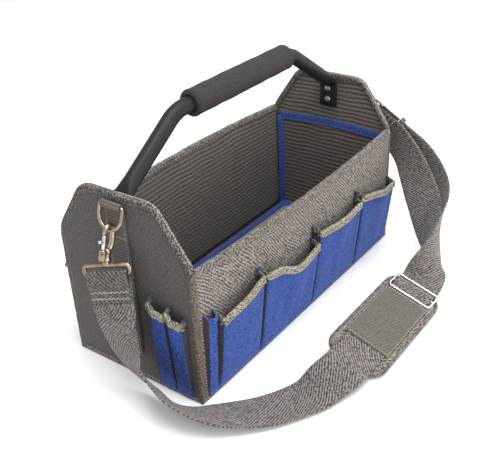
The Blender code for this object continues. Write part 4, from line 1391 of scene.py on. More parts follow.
@dataclass
class PocketSet:
    """All the pockets: the front's uneven five, the rear's four and two at each end."""

    shape: BagShape
    front_wall: LongWall
    rear_wall: LongWall

    def wall_row(self, wall: LongWall, pockets: Sequence[Pocket]) -> PocketRow:
        """A row on a long wall, carried out by the wall's swell."""
        half = self.shape.width / 2
        return PocketRow(wall.name, pockets,
                         lambda a, off, z: Vector((a, wall.side * (half + wall.swell(a, z) + off), z)),
                         Vector((0, wall.side, 0)))

    def front(self) -> PocketRow:
        """The front row, each mouth with its own droop."""
        seams = (-0.191, -0.175, -0.102, 0.003, 0.103, 0.191)
        mouths = ((0.103, 0.102, 0.102), (0.096, 0.099, 0.104, 0.108), (0.108, 0.102, 0.09, 0.088, 0.092),
                  (0.106, 0.101, 0.1, 0.1), (0.106, 0.099, 0.092, 0.09))
        depths = (0.0075, 0.0125, 0.0135, 0.013, 0.0135)
        pockets = [Pocket(f"front_pocket_{n}", a, b, mouth, depth, trimmed=n > 1)
                   for n, (a, b, mouth, depth) in enumerate(zip(seams, seams[1:], mouths, depths), 1)]
        return self.wall_row(self.front_wall, pockets)

    def rear(self) -> PocketRow:
        """The rear row of four even pockets."""
        seams = (-0.191, -0.0955, 0.0, 0.0955, 0.191)
        pockets = [Pocket(f"rear_pocket_{n}", a, b, (0.104, 0.1, 0.098, 0.1, 0.104), 0.0128)
                   for n, (a, b) in enumerate(zip(seams, seams[1:]), 1)]
        return self.wall_row(self.rear_wall, pockets)

    def end(self, side: int) -> PocketRow:
        """The two narrow pockets of an end."""
        seams = (-0.078, -0.056, -0.033)
        mouths = ((0.101, 0.104, 0.108), (0.104, 0.107, 0.112))
        name = end_name(side)
        pockets = [Pocket(f"{name}_end_pocket_{n}", a, b, mouth, 0.0085)
                   for n, (a, b, mouth) in enumerate(zip(seams, seams[1:], mouths), 1)]
        return PocketRow(f"{name}_end", pockets,
                         lambda a, off, z: Vector((side * (self.shape.length / 2 + off), a, z)),
                         Vector((side, 0, 0)), fold=0.003)

    def build(self) -> list[StitchRun]:
        """Make every row and return its stitch runs."""
        runs = []
        for row in (self.front(), self.rear(), self.end(-1), self.end(1)):
            runs += row.build()
        return runs


# ------------------------------ handle

@dataclass
class Handle:
    """The bent tube, its foam grip and the rivets that hold its pressed tongues."""

    shape: BagShape
    radius: float = 0.0085
    height: float = 0.2665
    grip_radius: float = 0.0145
    grip_length: float = 0.175
    grip_x: float = 0.0055
    tongue: tuple[float, float] = (0.025, 0.004)
    foot: float = 0.174
    rivets: tuple[float, float] = (0.1825, 0.197)
    head: float = 0.0044

    def tongue_x(self) -> float:
        """Middle of the tongue's thickness, along the bag."""
        return self.shape.length / 2 - self.shape.depth - 0.0006 - self.tongue[1] / 2

    def stations(self) -> list[tuple[Vector, float, float]]:
        """Centre, half width in y and half thickness of the tube, over half its length."""
        x = self.tongue_x()
        wide, thick = self.tongue[0] / 2, self.tongue[1] / 2
        marks = [(x, self.foot, wide, thick), (x, 0.186, wide, thick), (x, 0.202, wide, thick),
                 (x - 0.0016, 0.206, 0.012, 0.0026), (x - 0.0055, 0.2105, 0.011, 0.0045),
                 (x - 0.0115, 0.215, 0.0098, 0.0066), (x - 0.02, 0.2203, self.radius, self.radius)]
        a, knee, b = Vector((0.112, 0.2605)), Vector((0.1016, self.height)), Vector((0.09, self.height))
        low = Vector((x - 0.02, 0.2203))
        for share in (0.2, 0.45, 0.7, 0.9):
            spot = low.lerp(a, share)
            marks.append((spot.x, spot.y, self.radius, self.radius))
        for i in range(6):
            t = i / 5
            spot = a * (1 - t) ** 2 + knee * 2 * t * (1 - t) + b * t ** 2
            marks.append((spot.x, spot.y, self.radius, self.radius))
        centres = smooth_route([Vector((px, 0, pz)) for px, pz, _, _ in marks], 4)
        sizes = smooth_route([Vector((w, h, 0)) for _, _, w, h in marks], 4)
        return [(c, s.x, s.y) for c, s in zip(centres, sizes)]

    def build(self) -> None:
        """Make tube, grip and rivets."""
        half = self.stations()
        whole = [(Vector((-c.x, 0, c.z)), w, h) for c, w, h in half] + list(reversed(half))
        path = [c for c, _, _ in whole]
        ups = []
        for number in range(len(path)):
            along = path[min(number + 1, len(path) - 1)] - path[max(number - 1, 0)]
            ups.append(along.cross(Vector((0, 1, 0))))

        def section(number: int) -> Outline:
            """The tube's section at a station, flatter towards the tongue."""
            _, wide, thick = whole[number]
            power = 0.5 + 0.5 * min(thick / wide, 1.0)
            points = []
            for k in range(32):
                c, s = math.cos(math.tau * k / 32), math.sin(math.tau * k / 32)
                points.append((wide * math.copysign(abs(c) ** power, c),
                               thick * math.copysign(abs(s) ** power, s)))
            return points
        tube = Weaver.sweep("handle_bent_tube", path, ups, section)
        Piece.done(tube, "black_coat", "bag", "handle_tube")
        self.grip()
        for side in (-1, 1):
            name = end_name(side)
            face = self.tongue_x() - self.tongue[1] / 2
            for level, z in zip(("lower", "upper"), self.rivets):
                self.rivet(f"{name}_{level}_rivet_head", f"{name}_{level}_rivet", side, face, z)

    def grip(self) -> None:
        """The foam sleeve, a little slack between its ends."""
        half, bore = self.grip_length / 2, self.radius + 0.0004
        profile = [(bore, -half + 0.002), (bore, -half), (self.grip_radius - 0.004, -half)]
        profile += [(self.grip_radius - 0.004 + 0.0042 * math.sin(a), -half + 0.0042 * (1 - math.cos(a)))
                    for a in (0.4, 0.8, 1.2, 1.5)]
        for i in range(61):
            z = -half + 0.006 + (2 * half - 0.012) * i / 60
            soft = ripple(Vector((z, 0.4, 0.1)), 60, 0.00035) + ripple(Vector((z, 2.0, 0.7)), 15, 0.0003)
            profile.append((self.grip_radius + soft, z))
        profile += [(self.grip_radius - 0.004 + 0.0042 * math.sin(a), half - 0.0042 * (1 - math.cos(a)))
                    for a in (1.5, 1.2, 0.8, 0.4)]
        profile += [(self.grip_radius - 0.004, half), (bore, half), (bore, half - 0.002)]
        lay = Matrix.Translation((self.grip_x, 0, self.height)) @ Matrix.Rotation(math.pi / 2, 4, "Y")
        sleeve = Weaver.lathe("foam_sleeve", profile + [profile[0]], lay, 40)
        Piece.done(sleeve, "grip_foam_cells", "bag", "foam_grip")

    def rivet(self, name: str, node: str, side: int, face: float, z: float) -> None:
        """One domed rivet with its shank."""
        profile = [(0.00001, -0.0027), (0.0012, -0.0026), (0.0024, -0.0022), (0.0034, -0.0016),
                   (0.0041, -0.0008), (self.head, -0.0002), (self.head - 0.0004, 0.0001), (0.002, 0.0001),
                   (0.002, 0.0066), (0.002, 0.0067), (0.00001, 0.0067)]
        lay = Matrix.Translation((side * face, 0, z)) @ Matrix.Rotation(side * math.pi / 2, 4, "Y")
        Piece.done(Weaver.lathe(name, profile, lay, 28), "dull_steel", "bag", node)


# ------------------------------ metalwork and strap

@dataclass
class LinkSet:
    """One end's anchor, ring, hook, bolt, eye and sewn strap loop."""

    side: int
    lean: float
    twist: float
    spread: float
    ring_x: float = 0.2043
    ring_z: float = 0.207
    tilt: float = math.radians(17)
    leg: float = 0.009
    ring_half: float = 0.0148
    ring_wire: float = 0.0018
    anchor_half: float = 0.0125
    webbing: float = 0.0016
    hook_wire: float = 0.0022
    bend: float = 0.0055
    foot: float = -0.046
    eye_wire: float = 0.0019
    eye_half: float = 0.0272
    eye_top: float = -0.0505
    eye_bar: float = -0.0665
    rock: float = 0.0
    loop: float = 0.0285
    strap_half: float = 0.024

    @property
    def name(self) -> str:
        """Name of its end of the bag."""
        return end_name(self.side)

    @property
    def loop_radius(self) -> float:
        """From the eye's bar to the middle of the webbing turned round it."""
        return self.eye_wire + 0.0006 + self.webbing / 2

    def frames(self) -> tuple[Matrix, Matrix, Matrix]:
        """Frames of the ring's bar, of the chain that hangs from it and of the turned eye."""
        facing = Matrix.Rotation(0 if self.side > 0 else math.pi, 4, "Z")
        hinge = Matrix.Translation((self.side * self.ring_x, 0, self.ring_z)) @ facing
        hinge = hinge @ Matrix.Rotation(-self.tilt, 4, "Y")
        chain = hinge @ Matrix.Translation((0, 0, -self.leg)) @ Matrix.Rotation(-self.lean, 4, "X")
        top = Matrix.Translation((0, 0, self.eye_top))
        turn = Matrix.Rotation(self.twist, 4, "Z") @ Matrix.Rotation(self.rock, 4, "X")
        return hinge, chain, chain @ top @ turn @ top.inverted()

    def cross_way(self) -> Vector:
        """Direction across the strap at its loop."""
        return (self.frames()[2].to_3x3() @ Vector((0, 1, 0))).normalized()

    def lead(self, offset: float, distance: float) -> Vector:
        """A point in line with a leg of the strap loop, this far beyond its end."""
        return self.frames()[2] @ Vector((offset, 0, self.eye_bar - self.loop - distance))

    def build(self) -> list[StitchRun]:
        """Make the metalwork and the anchor and return the anchor's stitch runs."""
        hinge, chain, eye = self.frames()
        self.ring(hinge)
        self.hook(chain)
        self.bolt(chain)
        self.swivel(chain, eye)
        runs = self.anchor()
        self.strap_loop(eye)
        return runs

    def ring(self, hinge: Matrix) -> None:
        """The D-ring, bent from round wire."""
        half, corner = self.ring_half, self.ring_half - self.anchor_half
        points = arc((half - corner, -corner), corner, 90, 0, 6)
        points += [(y, z - self.leg) for y, z in arc((0, 0), half, 0, -180, 36)]
        points += arc((-half + corner, -corner), corner, 180, 90, 6)
        ring = Weaver.wire(f"{self.name}_bent_ring", [hinge @ Vector((0, y, z)) for y, z in points],
                           self.ring_wire, closed=True, sides=18)
        Piece.done(ring, "brassy_steel", f"{self.name}_link", f"{self.name}_d_ring")

    def hook(self, chain: Matrix) -> None:
        """Cast hook: barrel, thickened neck, bent nose and the lug that guides the bolt."""
        foot, bend = self.foot, self.bend
        line = [(-0.0012, foot + 0.006), (-0.0022, foot + 0.0095), (-0.0038, foot + 0.013),
                (-bend, foot + 0.0175), (-bend, foot + 0.024)]
        line += arc((0, foot + 0.03), bend, 180, 0, 22)
        line.append((bend, foot + 0.0268))
        path = [chain @ Vector((x, 0, z)) for x, z in line]
        last = len(path) - 1

        def thickness(number: int) -> float:
            """Thicker at the root, tapering to the nose."""
            share = number / last
            return self.hook_wire * (1.22 - 0.3 * share) * (0.86 if number == last else 1.0)
        pieces = [Weaver.wire("neck", path, thickness, sides=20)]
        barrel = [(0.0021, 0.0002), (0.0036, 0.0), (0.0043, 0.0008), (0.0043, 0.0022), (0.0037, 0.0028),
                  (0.0037, 0.0052), (0.0043, 0.006), (0.0043, 0.0096), (0.0036, 0.0118), (0.002, 0.013),
                  (0.00001, 0.0131), (0.00001, 0.0062), (0.0021, 0.0062), (0.0021, 0.0002)]
        pieces.append(Weaver.lathe("barrel", barrel, chain @ Matrix.Translation((0, 0, foot)), 30))
        lug = [(0.0022, 0.0012), (0.0031, 0.0012), (0.0036, 0.002), (0.0036, 0.0108), (0.003, 0.012),
               (0.0022, 0.012), (0.0022, 0.0012)]
        pieces.append(Weaver.lathe("lug", lug, chain @ Matrix.Translation((bend, 0, foot)), 26))
        bridge = [chain @ Vector((x, 0, foot + 0.0048)) for x in (0.0036, 0.0018, 0.0)]
        pieces.append(Weaver.wire("bridge", bridge, 0.0026, sides=16))
        hook = Weaver.joined(f"{self.name}_cast_hook", pieces)
        Piece.done(hook, "brassy_steel", f"{self.name}_hook", f"{self.name}_snap_hook")

    def bolt(self, chain: Matrix) -> None:
        """The sprung bolt with its ridged thumb pin."""
        foot = self.foot
        shaft = [(0.00001, 0.0072), (0.0015, 0.0073), (0.0017, 0.0078), (0.0017, 0.0248), (0.0014, 0.0262),
                 (0.0008, 0.0265), (0.00001, 0.0265)]
        pieces = [Weaver.lathe("shaft", shaft, chain @ Matrix.Translation((self.bend, 0, foot)), 22)]
        pin = [(0.00001, 0.0), (0.0012, 0.0001), (0.0012, 0.003), (0.0016, 0.0036), (0.0016, 0.0058),
               (0.0012, 0.0064), (0.00001, 0.0065)]
        lay = chain @ Matrix.Translation((self.bend, 0, foot + 0.0205)) @ Matrix.Rotation(math.pi / 2, 4, "Y")
        pieces.append(Weaver.lathe("pin", pin, lay, 18))
        bolt = Weaver.joined(f"{self.name}_sprung_bolt", pieces)
        Piece.done(bolt, "plated_steel", f"{self.name}_trigger", f"{self.name}_hook_trigger")

    def swivel(self, chain: Matrix, eye: Matrix) -> None:
        """The wide wire eye, its collar and its post."""
        half, corner = self.eye_half, min(0.005, (self.eye_top - self.eye_bar) * 0.42)
        points = arc((half - corner, self.eye_top - corner), corner, 90, 0, 8)
        points += arc((half - corner, self.eye_bar + corner), corner, 0, -90, 8)
        points += arc((-half + corner, self.eye_bar + corner), corner, 270, 180, 8)
        points += arc((-half + corner, self.eye_top - corner), corner, 180, 90, 8)
        pieces = [Weaver.wire("loop", [eye @ Vector((0, y, z)) for y, z in points], self.eye_wire,
                              closed=True, sides=20)]
        collar = [(0.00001, self.eye_top - 0.0012), (0.0024, self.eye_top - 0.0011), (0.0034, self.eye_top),
                  (0.0034, self.foot - 0.0016), (0.0028, self.foot - 0.0004), (0.0016, self.foot - 0.0003),
                  (0.0016, self.foot + 0.0055), (0.00001, self.foot + 0.0056)]
        pieces.append(Weaver.lathe("collar", collar, chain, 26))
        swivel = Weaver.joined(f"{self.name}_wire_eye", pieces)
        Piece.done(swivel, "brassy_steel", f"{self.name}_link", f"{self.name}_swivel_eye")

    def anchor(self) -> list[StitchRun]:
        """Webbing down the outside of the end, looped round the ring's bar, with its box stitching."""
        face = 0.2003
        mid = face + self.webbing / 2
        bore = self.ring_wire + 0.0003 + self.webbing / 2
        line = [(mid + 0.0002, 0.034 + (self.ring_z - bore - 0.036) * i / 40) for i in range(41)]
        line += [(self.ring_x + bore * math.cos(a), self.ring_z + bore * math.sin(a))
                 for a in [math.radians(200 - 290 * i / 24) for i in range(25)]]
        path = [Vector((self.side * x, 0, z)) for x, z in line]
        rows, uvs = [], []
        run = 0.0
        for number, spot in enumerate(path):
            if number:
                run += (spot - path[number - 1]).length
            wavy = 0.0002 * math.sin(number * 0.8)
            rows.append([spot + Vector((0, -self.anchor_half + 2 * self.anchor_half * k / 12 + wavy, 0))
                         for k in range(13)])
            uvs.append([(p.y, run) for p in rows[-1]])
        tape = Weaver.cloth(f"{self.name}_anchor_tape", rows, uvs, self.webbing, Vector((self.side, 0, 0)))
        Piece.done(tape, "anchor_webbing", "bag", f"{self.name}_ring_anchor")
        out = Vector((self.side, 0, 0))
        skin = self.side * (mid + self.webbing / 2 + 0.0004)
        runs = []
        for y in (-0.0108, 0.0108):
            edge = [Vector((skin, y, 0.038 + 0.155 * i / 60)) for i in range(61)]
            runs.append(StitchRun(edge, [out] * 61, Seam.STRAIGHT, 0.0032, 0.0024, 0.00038, "grey_thread"))
        for z in (0.172, 0.192, 0.104):
            bar = [Vector((skin, -0.0105 + 0.021 * i / 14, z)) for i in range(15)]
            runs.append(StitchRun(bar, [out] * 15, Seam.CROSS, 0.0011, 0.0034, 0.0004, "grey_thread"))
        return runs

    def strap_loop(self, eye: Matrix) -> None:
        """The strap's turned end round the eye's bar, with its two sewn legs."""
        radius = self.loop_radius
        end = self.eye_bar - self.loop
        spread = self.spread
        legs = [(-spread, end + 0.0001), (-spread - (radius - spread) * 0.25, end + self.loop * 0.35),
                (-radius + 0.0003, self.eye_bar - 0.009), (-radius, self.eye_bar - 0.004)]
        line = legs + arc((0, self.eye_bar), radius, 180, 0, 22)
        line += [(-x, z) for x, z in reversed(legs)]
        centres = smooth_route([Vector((x, 0, z)) for x, z in line], 2)
        rows, uvs = [], []
        run = 0.0
        for number, spot in enumerate(centres):
            if number:
                run += (spot - centres[number - 1]).length
            rows.append([eye @ Vector((spot.x, -self.strap_half + 2 * self.strap_half * k / 20, spot.z))
                         for k in range(21)])
            uvs.append([((k / 20 - 0.5) * 2 * self.strap_half, run) for k in range(21)])
        outward = eye.to_3x3() @ Vector((-1, 0, 0))
        loop = Weaver.cloth(f"{self.name}_turned_loop", rows, uvs, self.webbing * 0.92, outward)
        # The loop takes the darker webbing finish: painted shade.
        Piece.done(loop, "folded_webbing", f"{self.name}_link", f"{self.name}_strap_loop",
                   inside="strap_back")

    def loop_stitches(self) -> list[StitchRun]:
        """Sewn rows that close the turned end of the strap, on both legs."""
        eye = self.frames()[2]
        radius = self.loop_radius
        runs = []
        for face in (-1, 1):
            out = eye.to_3x3() @ Vector((face, 0, 0))
            for distance in (0.4, 0.62, 0.84):
                z = self.eye_bar - self.loop * distance
                lean = self.spread + (radius - self.spread) * (1 - distance) * 0.6
                off = face * (lean + self.webbing / 2 + 0.0002)
                rows = [eye @ Vector((off, -0.0215 + 0.043 * i / 20, z)) for i in range(21)]
                runs.append(StitchRun(rows, [out] * 21, Seam.ZIGZAG, 0.0026, 0.004, 0.00042, "pale_thread"))
        return runs


# ------------------------------ strap

@dataclass
class PadPlace:
    """Where the shoulder pad lies and how the strap crosses it."""

    x: float = 0.004
    y: float = -0.1865
    width: float = 0.068
    thickness: float = 0.006
    slope: float = math.radians(18)
    webbing: float = 0.0016

    @property
    def frame(self) -> Matrix:
        """Frame of the pad: x along it, y towards the bag, z up off its sole."""
        lift = self.width / 2 * math.sin(self.slope) + 0.0003
        return Matrix.Translation((self.x, self.y, lift)) @ Matrix.Rotation(self.slope, 4, "X")

    @property
    def up(self) -> Vector:
        """Direction off the pad's sole."""
        return self.frame.to_3x3() @ Vector((0, 0, 1))

    @property
    def layer(self) -> float:
        """Height of the strap's middle over the pad's sole."""
        return self.thickness + 0.0003 + self.webbing / 2

    def strap_point(self, x: float, lift: float = 0.0) -> Vector:
        """The strap's middle where it lies on the pad, or this far above it."""
        return self.frame @ Vector((x - self.x, 0, self.layer + lift))

    def down(self) -> Vector:
        """Direction across the pad, away from the bag."""
        return (self.frame.to_3x3() @ Vector((0, -1, 0))).normalized()


@dataclass
class ShoulderStrap:
    """The webbing strap: near hook to pad, far hook to pad, and the doubled strand to the slide."""

    near: LinkSet
    far: LinkSet
    pad: PadPlace
    width: float = 0.048
    thickness: float = 0.0016
    columns: int = 16
    steps: int = 12

    def near_route(self) -> Route:
        """Middles and edge directions from the near hook round the corner to the pad."""
        side = self.near.cross_way()
        down, on_pad = self.pad.down(), self.pad.strap_point
        free = (
            ((-0.2335, -0.015, 0.097), (0.06, -0.95, 0.29)),
            ((-0.232, -0.0145, 0.085), (0.02, -0.96, 0.28)),
            ((-0.23, -0.015, 0.07), (-0.04, -0.95, 0.3)),
            ((-0.229, -0.021, 0.054), (-0.15, -0.9, 0.4)),
            ((-0.23, -0.034, 0.041), (-0.38, -0.72, 0.56)),
            ((-0.233, -0.053, 0.033), (-0.58, -0.48, 0.66)),
            ((-0.234, -0.075, 0.0225), (-0.62, -0.42, 0.66)),
            ((-0.226, -0.096, 0.0145), (-0.65, -0.55, 0.5)),
            ((-0.212, -0.115, 0.0095), (-0.7, -0.64, 0.3)),
            ((-0.194, -0.133, 0.006), (-0.65, -0.74, 0.18)),
            ((-0.175, -0.149, 0.004), (-0.57, -0.81, 0.1)),
            ((-0.154, -0.162, 0.0032), (-0.48, -0.87, 0.06)),
            ((-0.132, -0.174, 0.005), (-0.34, -0.94, -0.02)),
            ((-0.112, -0.182, 0.0125), (-0.14, -0.96, -0.22)),
        )
        route = [(self.near.lead(0, d), side) for d in (0.0005, 0.004, 0.009)]
        route += [(Vector(p), Vector(a)) for p, a in free]
        return route + [(on_pad(x), down) for x in (-0.093, -0.082, -0.04, self.pad.x - 0.0003)]

    def far_route(self) -> Route:
        """Middles and edge directions from the far hook down to the middle of the pad."""
        up = self.far.cross_way()
        down, on_pad = self.pad.down(), self.pad.strap_point
        free = (
            ((0.231, -0.112, 0.116), (0.17, 0.59, -0.79)),
            ((0.224, -0.135, 0.0975), (0.12, 0.58, -0.81)),
            ((0.208, -0.156, 0.081), (0.16, 0.52, -0.84)),
            ((0.186, -0.1705, 0.068), (0.26, 0.37, -0.89)),
            ((0.159, -0.18, 0.0565), (0.35, 0.1, -0.93)),
            ((0.135, -0.187, 0.0465), (0.39, -0.13, -0.91)),
            ((0.118, -0.19, 0.0385), (0.34, -0.42, -0.83)),
            ((0.105, -0.1905, 0.0285), (0.16, -0.8, -0.57)),
        )
        route = [(self.far.lead(self.far.spread, d), up) for d in (0.0005, 0.004, 0.009)]
        route += [(Vector(p), Vector(a)) for p, a in free]
        return route + [(on_pad(0.094, 0.0014), down)] + [(on_pad(x), down)
                                                         for x in (0.084, 0.04, self.pad.x + 0.0003)]

    def return_route(self) -> Route:
        """The second strand from the far hook, tucked in behind the first above the slide."""
        up = self.far.cross_way()
        free = (
            ((0.219, -0.101, 0.118), (0.18, 0.66, -0.73)),
            ((0.209, -0.118, 0.1005), (0.01, 0.74, -0.68)),
            ((0.197, -0.1345, 0.0825), (-0.13, 0.78, -0.61)),
            ((0.183, -0.15, 0.066), (-0.14, 0.77, -0.62)),
            ((0.165, -0.162, 0.055), (0.02, 0.63, -0.78)),
            ((0.145, -0.1725, 0.045), (0.24, 0.32, -0.92)),
            ((0.127, -0.18, 0.035), (0.36, -0.1, -0.92)),
        )
        route = [(self.far.lead(-self.far.spread, d), up) for d in (0.0005, 0.004, 0.009)]
        return route + [(Vector(p), Vector(a)) for p, a in free]

    def ribbon(self, name: str, route: Route) -> tuple[Object, list[Vector]]:
        """Webbing of even width along a route.

        Args:
            name: Name of the piece.
            route: Middles and edge directions.

        Returns:
            The piece and its centre line.
        """
        centres = smooth_route([p for p, _ in route], self.steps)
        edges = smooth_route([a for _, a in route], self.steps)
        rows, uvs = [], []
        run = 0.0
        for number, (spot, across) in enumerate(zip(centres, edges)):
            along = centres[min(number + 1, len(centres) - 1)] - centres[max(number - 1, 0)]
            along.normalize()
            across = (across - along * across.dot(along)).normalized()
            out = along.cross(across)
            if number:
                run += (spot - centres[number - 1]).length
            row = []
            for k in range(self.columns + 1):
                share = 2 * k / self.columns - 1
                lift = ripple(spot * 1.0 + Vector((share * 0.01, 0, 0)), 30, 0.00025)
                row.append(spot + across * (share * self.width / 2) + out * lift)
            rows.append(row)
            uvs.append([((k / self.columns - 0.5) * self.width, run) for k in range(self.columns + 1)])
        return Weaver.cloth(name, rows, uvs, self.thickness), centres

    def stretch(self, name: str, node: str, route: Route, link: LinkSet,
                anchor: Vector) -> tuple[Object, list[Vector]]:
        """Make one stretch and let it bend between its link and the bag.

        Args:
            name: Name of the piece.
            node: The node that it stands for.
            route: Middles and edge directions, from the link on.
            link: The link that it hangs from.
            anchor: Where it starts to follow the bag alone.

        Returns:
            The piece and its centre line.
        """
        obj, centres = self.ribbon(name, route)
        FINISHES.dress(obj, "strap_face")
        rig.replaces(obj, node)
        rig.blend(obj, f"{link.name}_link", "bag", start=centres[0], end=anchor)
        return obj, centres

    def declare(self, obj: Object, centres: Sequence[Vector], pieces: Sequence[object]) -> None:
        """Declare a stretch as a cord with the pieces on it."""
        length = sum((b - a).length for a, b in zip(centres, centres[1:]))
        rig.cord(obj, exit=centres[0], length=length, diameter=self.width, far_end="object",
                stiffness="limp", lay="loose", path=centres, with_pieces=pieces)
        LOG.info("%s: %.3f m of webbing", obj.name, length)

    def build(self, pieces: Sequence[object]) -> None:
        """Make the three stretches; the doubled strand and the pieces count with the far one."""
        near, line = self.stretch("near_strap_webbing", "strap_near", self.near_route(), self.near,
                                  Vector((-0.233, -0.053, 0.033)))
        self.declare(near, line, ())
        doubled, _ = self.stretch("doubled_strap_webbing", "strap_return", self.return_route(), self.far,
                                  Vector((0.165, -0.162, 0.055)))
        far, line = self.stretch("far_strap_webbing", "strap_far", self.far_route(), self.far,
                                 Vector((0.159, -0.18, 0.0565)))
        self.declare(far, line, [*pieces, doubled])


@dataclass
class ShoulderPad:
    """The pad: crowned foam body, bound edge and the sewn panel over the strap."""

    place: PadPlace
    length: float = 0.164
    corner: float = 0.02
    panel_low: float = -0.049
    panel_length: float = 0.1
    panel_width: float = 0.054
    panel_top: float = 0.0088

    def ring(self, inset: float, height: Callable[[float, float], float]) -> list[Vector]:
        """One closed line of the pad's surface, this far in from its edge."""
        outline = rounded_oblong(self.length - 2 * inset, self.place.width - 2 * inset,
                                 max(self.corner - inset, 0.0015), 8)
        dense: Outline = []
        for (ax, ay), (bx, by) in zip(outline, outline[1:] + outline[:1]):
            pieces = 10 if math.hypot(bx - ax, by - ay) > 0.02 else 1
            dense += [(ax + (bx - ax) * i / pieces, ay + (by - ay) * i / pieces) for i in range(pieces)]
        return [self.place.frame @ Vector((x, y, height(x, y))) for x, y in dense]

    def rings(self) -> list[list[Vector]]:
        """The pad's surface from the middle of its sole, round its edge, to the middle of its top."""
        thick = self.place.thickness
        out = []
        for inset in (0.03, 0.018, 0.008, 0.003, 0.0008):
            out.append(self.ring(inset, lambda x, y, i=inset: 0.0002 + 0.0008 * max(0, 1 - i / 0.003)))
        out.append(self.ring(0.0002, lambda x, y: thick * 0.33))
        out.append(self.ring(0.0002, lambda x, y: thick * 0.55))

        def top(inset: float) -> Callable[[float, float], float]:
            """Height of the top: crowned beside the strap and flat under it."""
            def height(x: float, y: float) -> float:
                """Height at a place."""
                rise = 0.0011 * math.sin(math.pi * min(inset, 0.01) / 0.01)
                beside = min(max((abs(y) - 0.0255) / 0.004, 0), 1)
                edge = min(inset / 0.003, 1) ** 0.5
                soft = ripple(Vector((x, y, 0.2)), 45, 0.0002)
                return (thick * (0.62 + 0.36 * edge)) + rise * beside + soft * beside
            return height
        for inset in (0.001, 0.0022, 0.004, 0.006, 0.008, 0.011, 0.015, 0.02, 0.026, 0.03):
            out.append(self.ring(inset, top(inset)))
        return out

    def build(self) -> tuple[list[Object], list[StitchRun]]:
        """Make the pad and return its pieces and stitch runs."""
        rows = self.rings()
        turn = self.place.frame.inverted()
        flats = [[turn @ p for p in row] for row in rows]
        body = Weaver.grid("shoulder_pad_cushion", rows, [[(p.x, p.y) for p in row] for row in flats],
                           round_way=True, caps=True)
        Piece.done(body, "pad_cover", "pad", "shoulder_pad")
        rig.padded(body, fill=0.8)
        edge_line = [self.place.frame @ Vector((p.x, p.y, 0.0036)) for p in flats[7]]
        bound = Weaver.sweep("pad_bound_edge", edge_line, [self.place.up] * len(edge_line),
                             rounded_oblong(0.0042, 0.006, 0.0019, 3), closed=True)
        Piece.done(bound, "binding_cloth", "pad")
        panel = self.panel()
        Piece.done(panel, "pad_panel_cover", "pad", "pad_top_panel")
        return [body, bound, panel], self.stitches()

    def panel_height(self, y: float) -> float:
        """Height of the panel's middle: over the strap, and down to the pad beside it."""
        drop = min(max((abs(y) - 0.0244) / 0.0024, 0), 1)
        return self.panel_top - 0.0016 * drop * drop * (3 - 2 * drop)

    def panel(self) -> Object:
        """The cloth sewn over the strap."""
        rows, uvs = [], []
        ys = [-self.panel_width / 2 + self.panel_width * k / 44 for k in range(45)]
        for i in range(41):
            x = self.panel_low + self.panel_length * i / 40
            wave = 0.00025 * math.sin(9 * math.pi * (x - self.panel_low) / self.panel_length)
            rows.append([self.place.frame @ Vector(
                (x, y, self.panel_height(y) + wave * (1 - (2 * y / self.panel_width) ** 4))) for y in ys])
            uvs.append([(x, y) for y in ys])
        return Weaver.cloth("pad_sewn_panel", rows, uvs, 0.0011, self.place.up)

    def stitches(self) -> list[StitchRun]:
        """Stitches round the panel and inside the bound edge."""
        lines = []
        low, length, lift = self.panel_low, self.panel_length, 0.0008
        for y in (-0.0262, 0.0262):
            z = self.panel_height(y) + lift
            lines.append([(low + 0.001 + (length - 0.002) * i / 60, y, z) for i in range(61)])
        for x in (low + 0.0022, low + length - 0.0022):
            lines.append([(x, -0.0225 + 0.045 * i / 30, self.panel_top + lift) for i in range(31)])
        turn = self.place.frame.inverted()
        inner = [turn @ p for p in self.ring(0.0048, lambda x, y: 0.0)]
        rim = [(p.x, p.y, 0.0072) for p in inner if abs(p.y) > 0.026 or abs(p.x) < 0]
        half = len(rim) // 2
        lines += [rim[:half], rim[half:]]
        return [StitchRun([self.place.frame @ Vector(p) for p in line], [self.place.up] * len(line),
                          Seam.STRAIGHT, 0.0034, 0.0026, 0.0004) for line in lines]


@dataclass
class StrapSlide:
    """Three-bar slide with the webbing humped over its middle bar."""

    place: PadPlace
    length: float = 0.026
    width: float = 0.054
    wire: float = 0.0014
    along: float = 0.0665

    def build(self) -> list[Object]:
        """Make the slide and the webbing over its bar."""
        height = self.place.layer + self.place.webbing / 2 + 0.0003 + self.wire
        frame = self.place.frame @ Matrix.Translation((self.along, 0, height))
        path = [frame @ Vector((x, y, 0)) for x, y in rounded_oblong(self.length, self.width, 0.004, 7)]
        pieces = [Weaver.wire("frame", path, self.wire, closed=True, sides=18)]
        bar = [frame @ Vector((0, -self.width / 2 + self.width * i / 6, 0)) for i in range(7)]
        pieces.append(Weaver.wire("bar", bar, self.wire * 0.98, sides=16))
        slide = Weaver.joined("wire_slide", pieces)
        Piece.done(slide, "plated_steel", "slide", "strap_slide")
        rows, uvs = [], []
        for i in range(31):
            x = -0.0108 + 0.0216 * i / 30
            lift = -self.wire + 0.0006 + (2 * self.wire + 0.0006) * math.cos(math.pi * x / 0.0216) ** 2
            rows.append([frame @ Vector((x, -0.0238 + 0.0476 * k / 16, lift)) for k in range(17)])
            uvs.append([(-0.0238 + 0.0476 * k / 16, x) for k in range(17)])
        hump = Weaver.cloth("webbing_over_bar", rows, uvs, 0.0012, self.place.up)
        Piece.done(hump, "strap_face", "slide")
        return [slide, hump]


# ------------------------------ studio

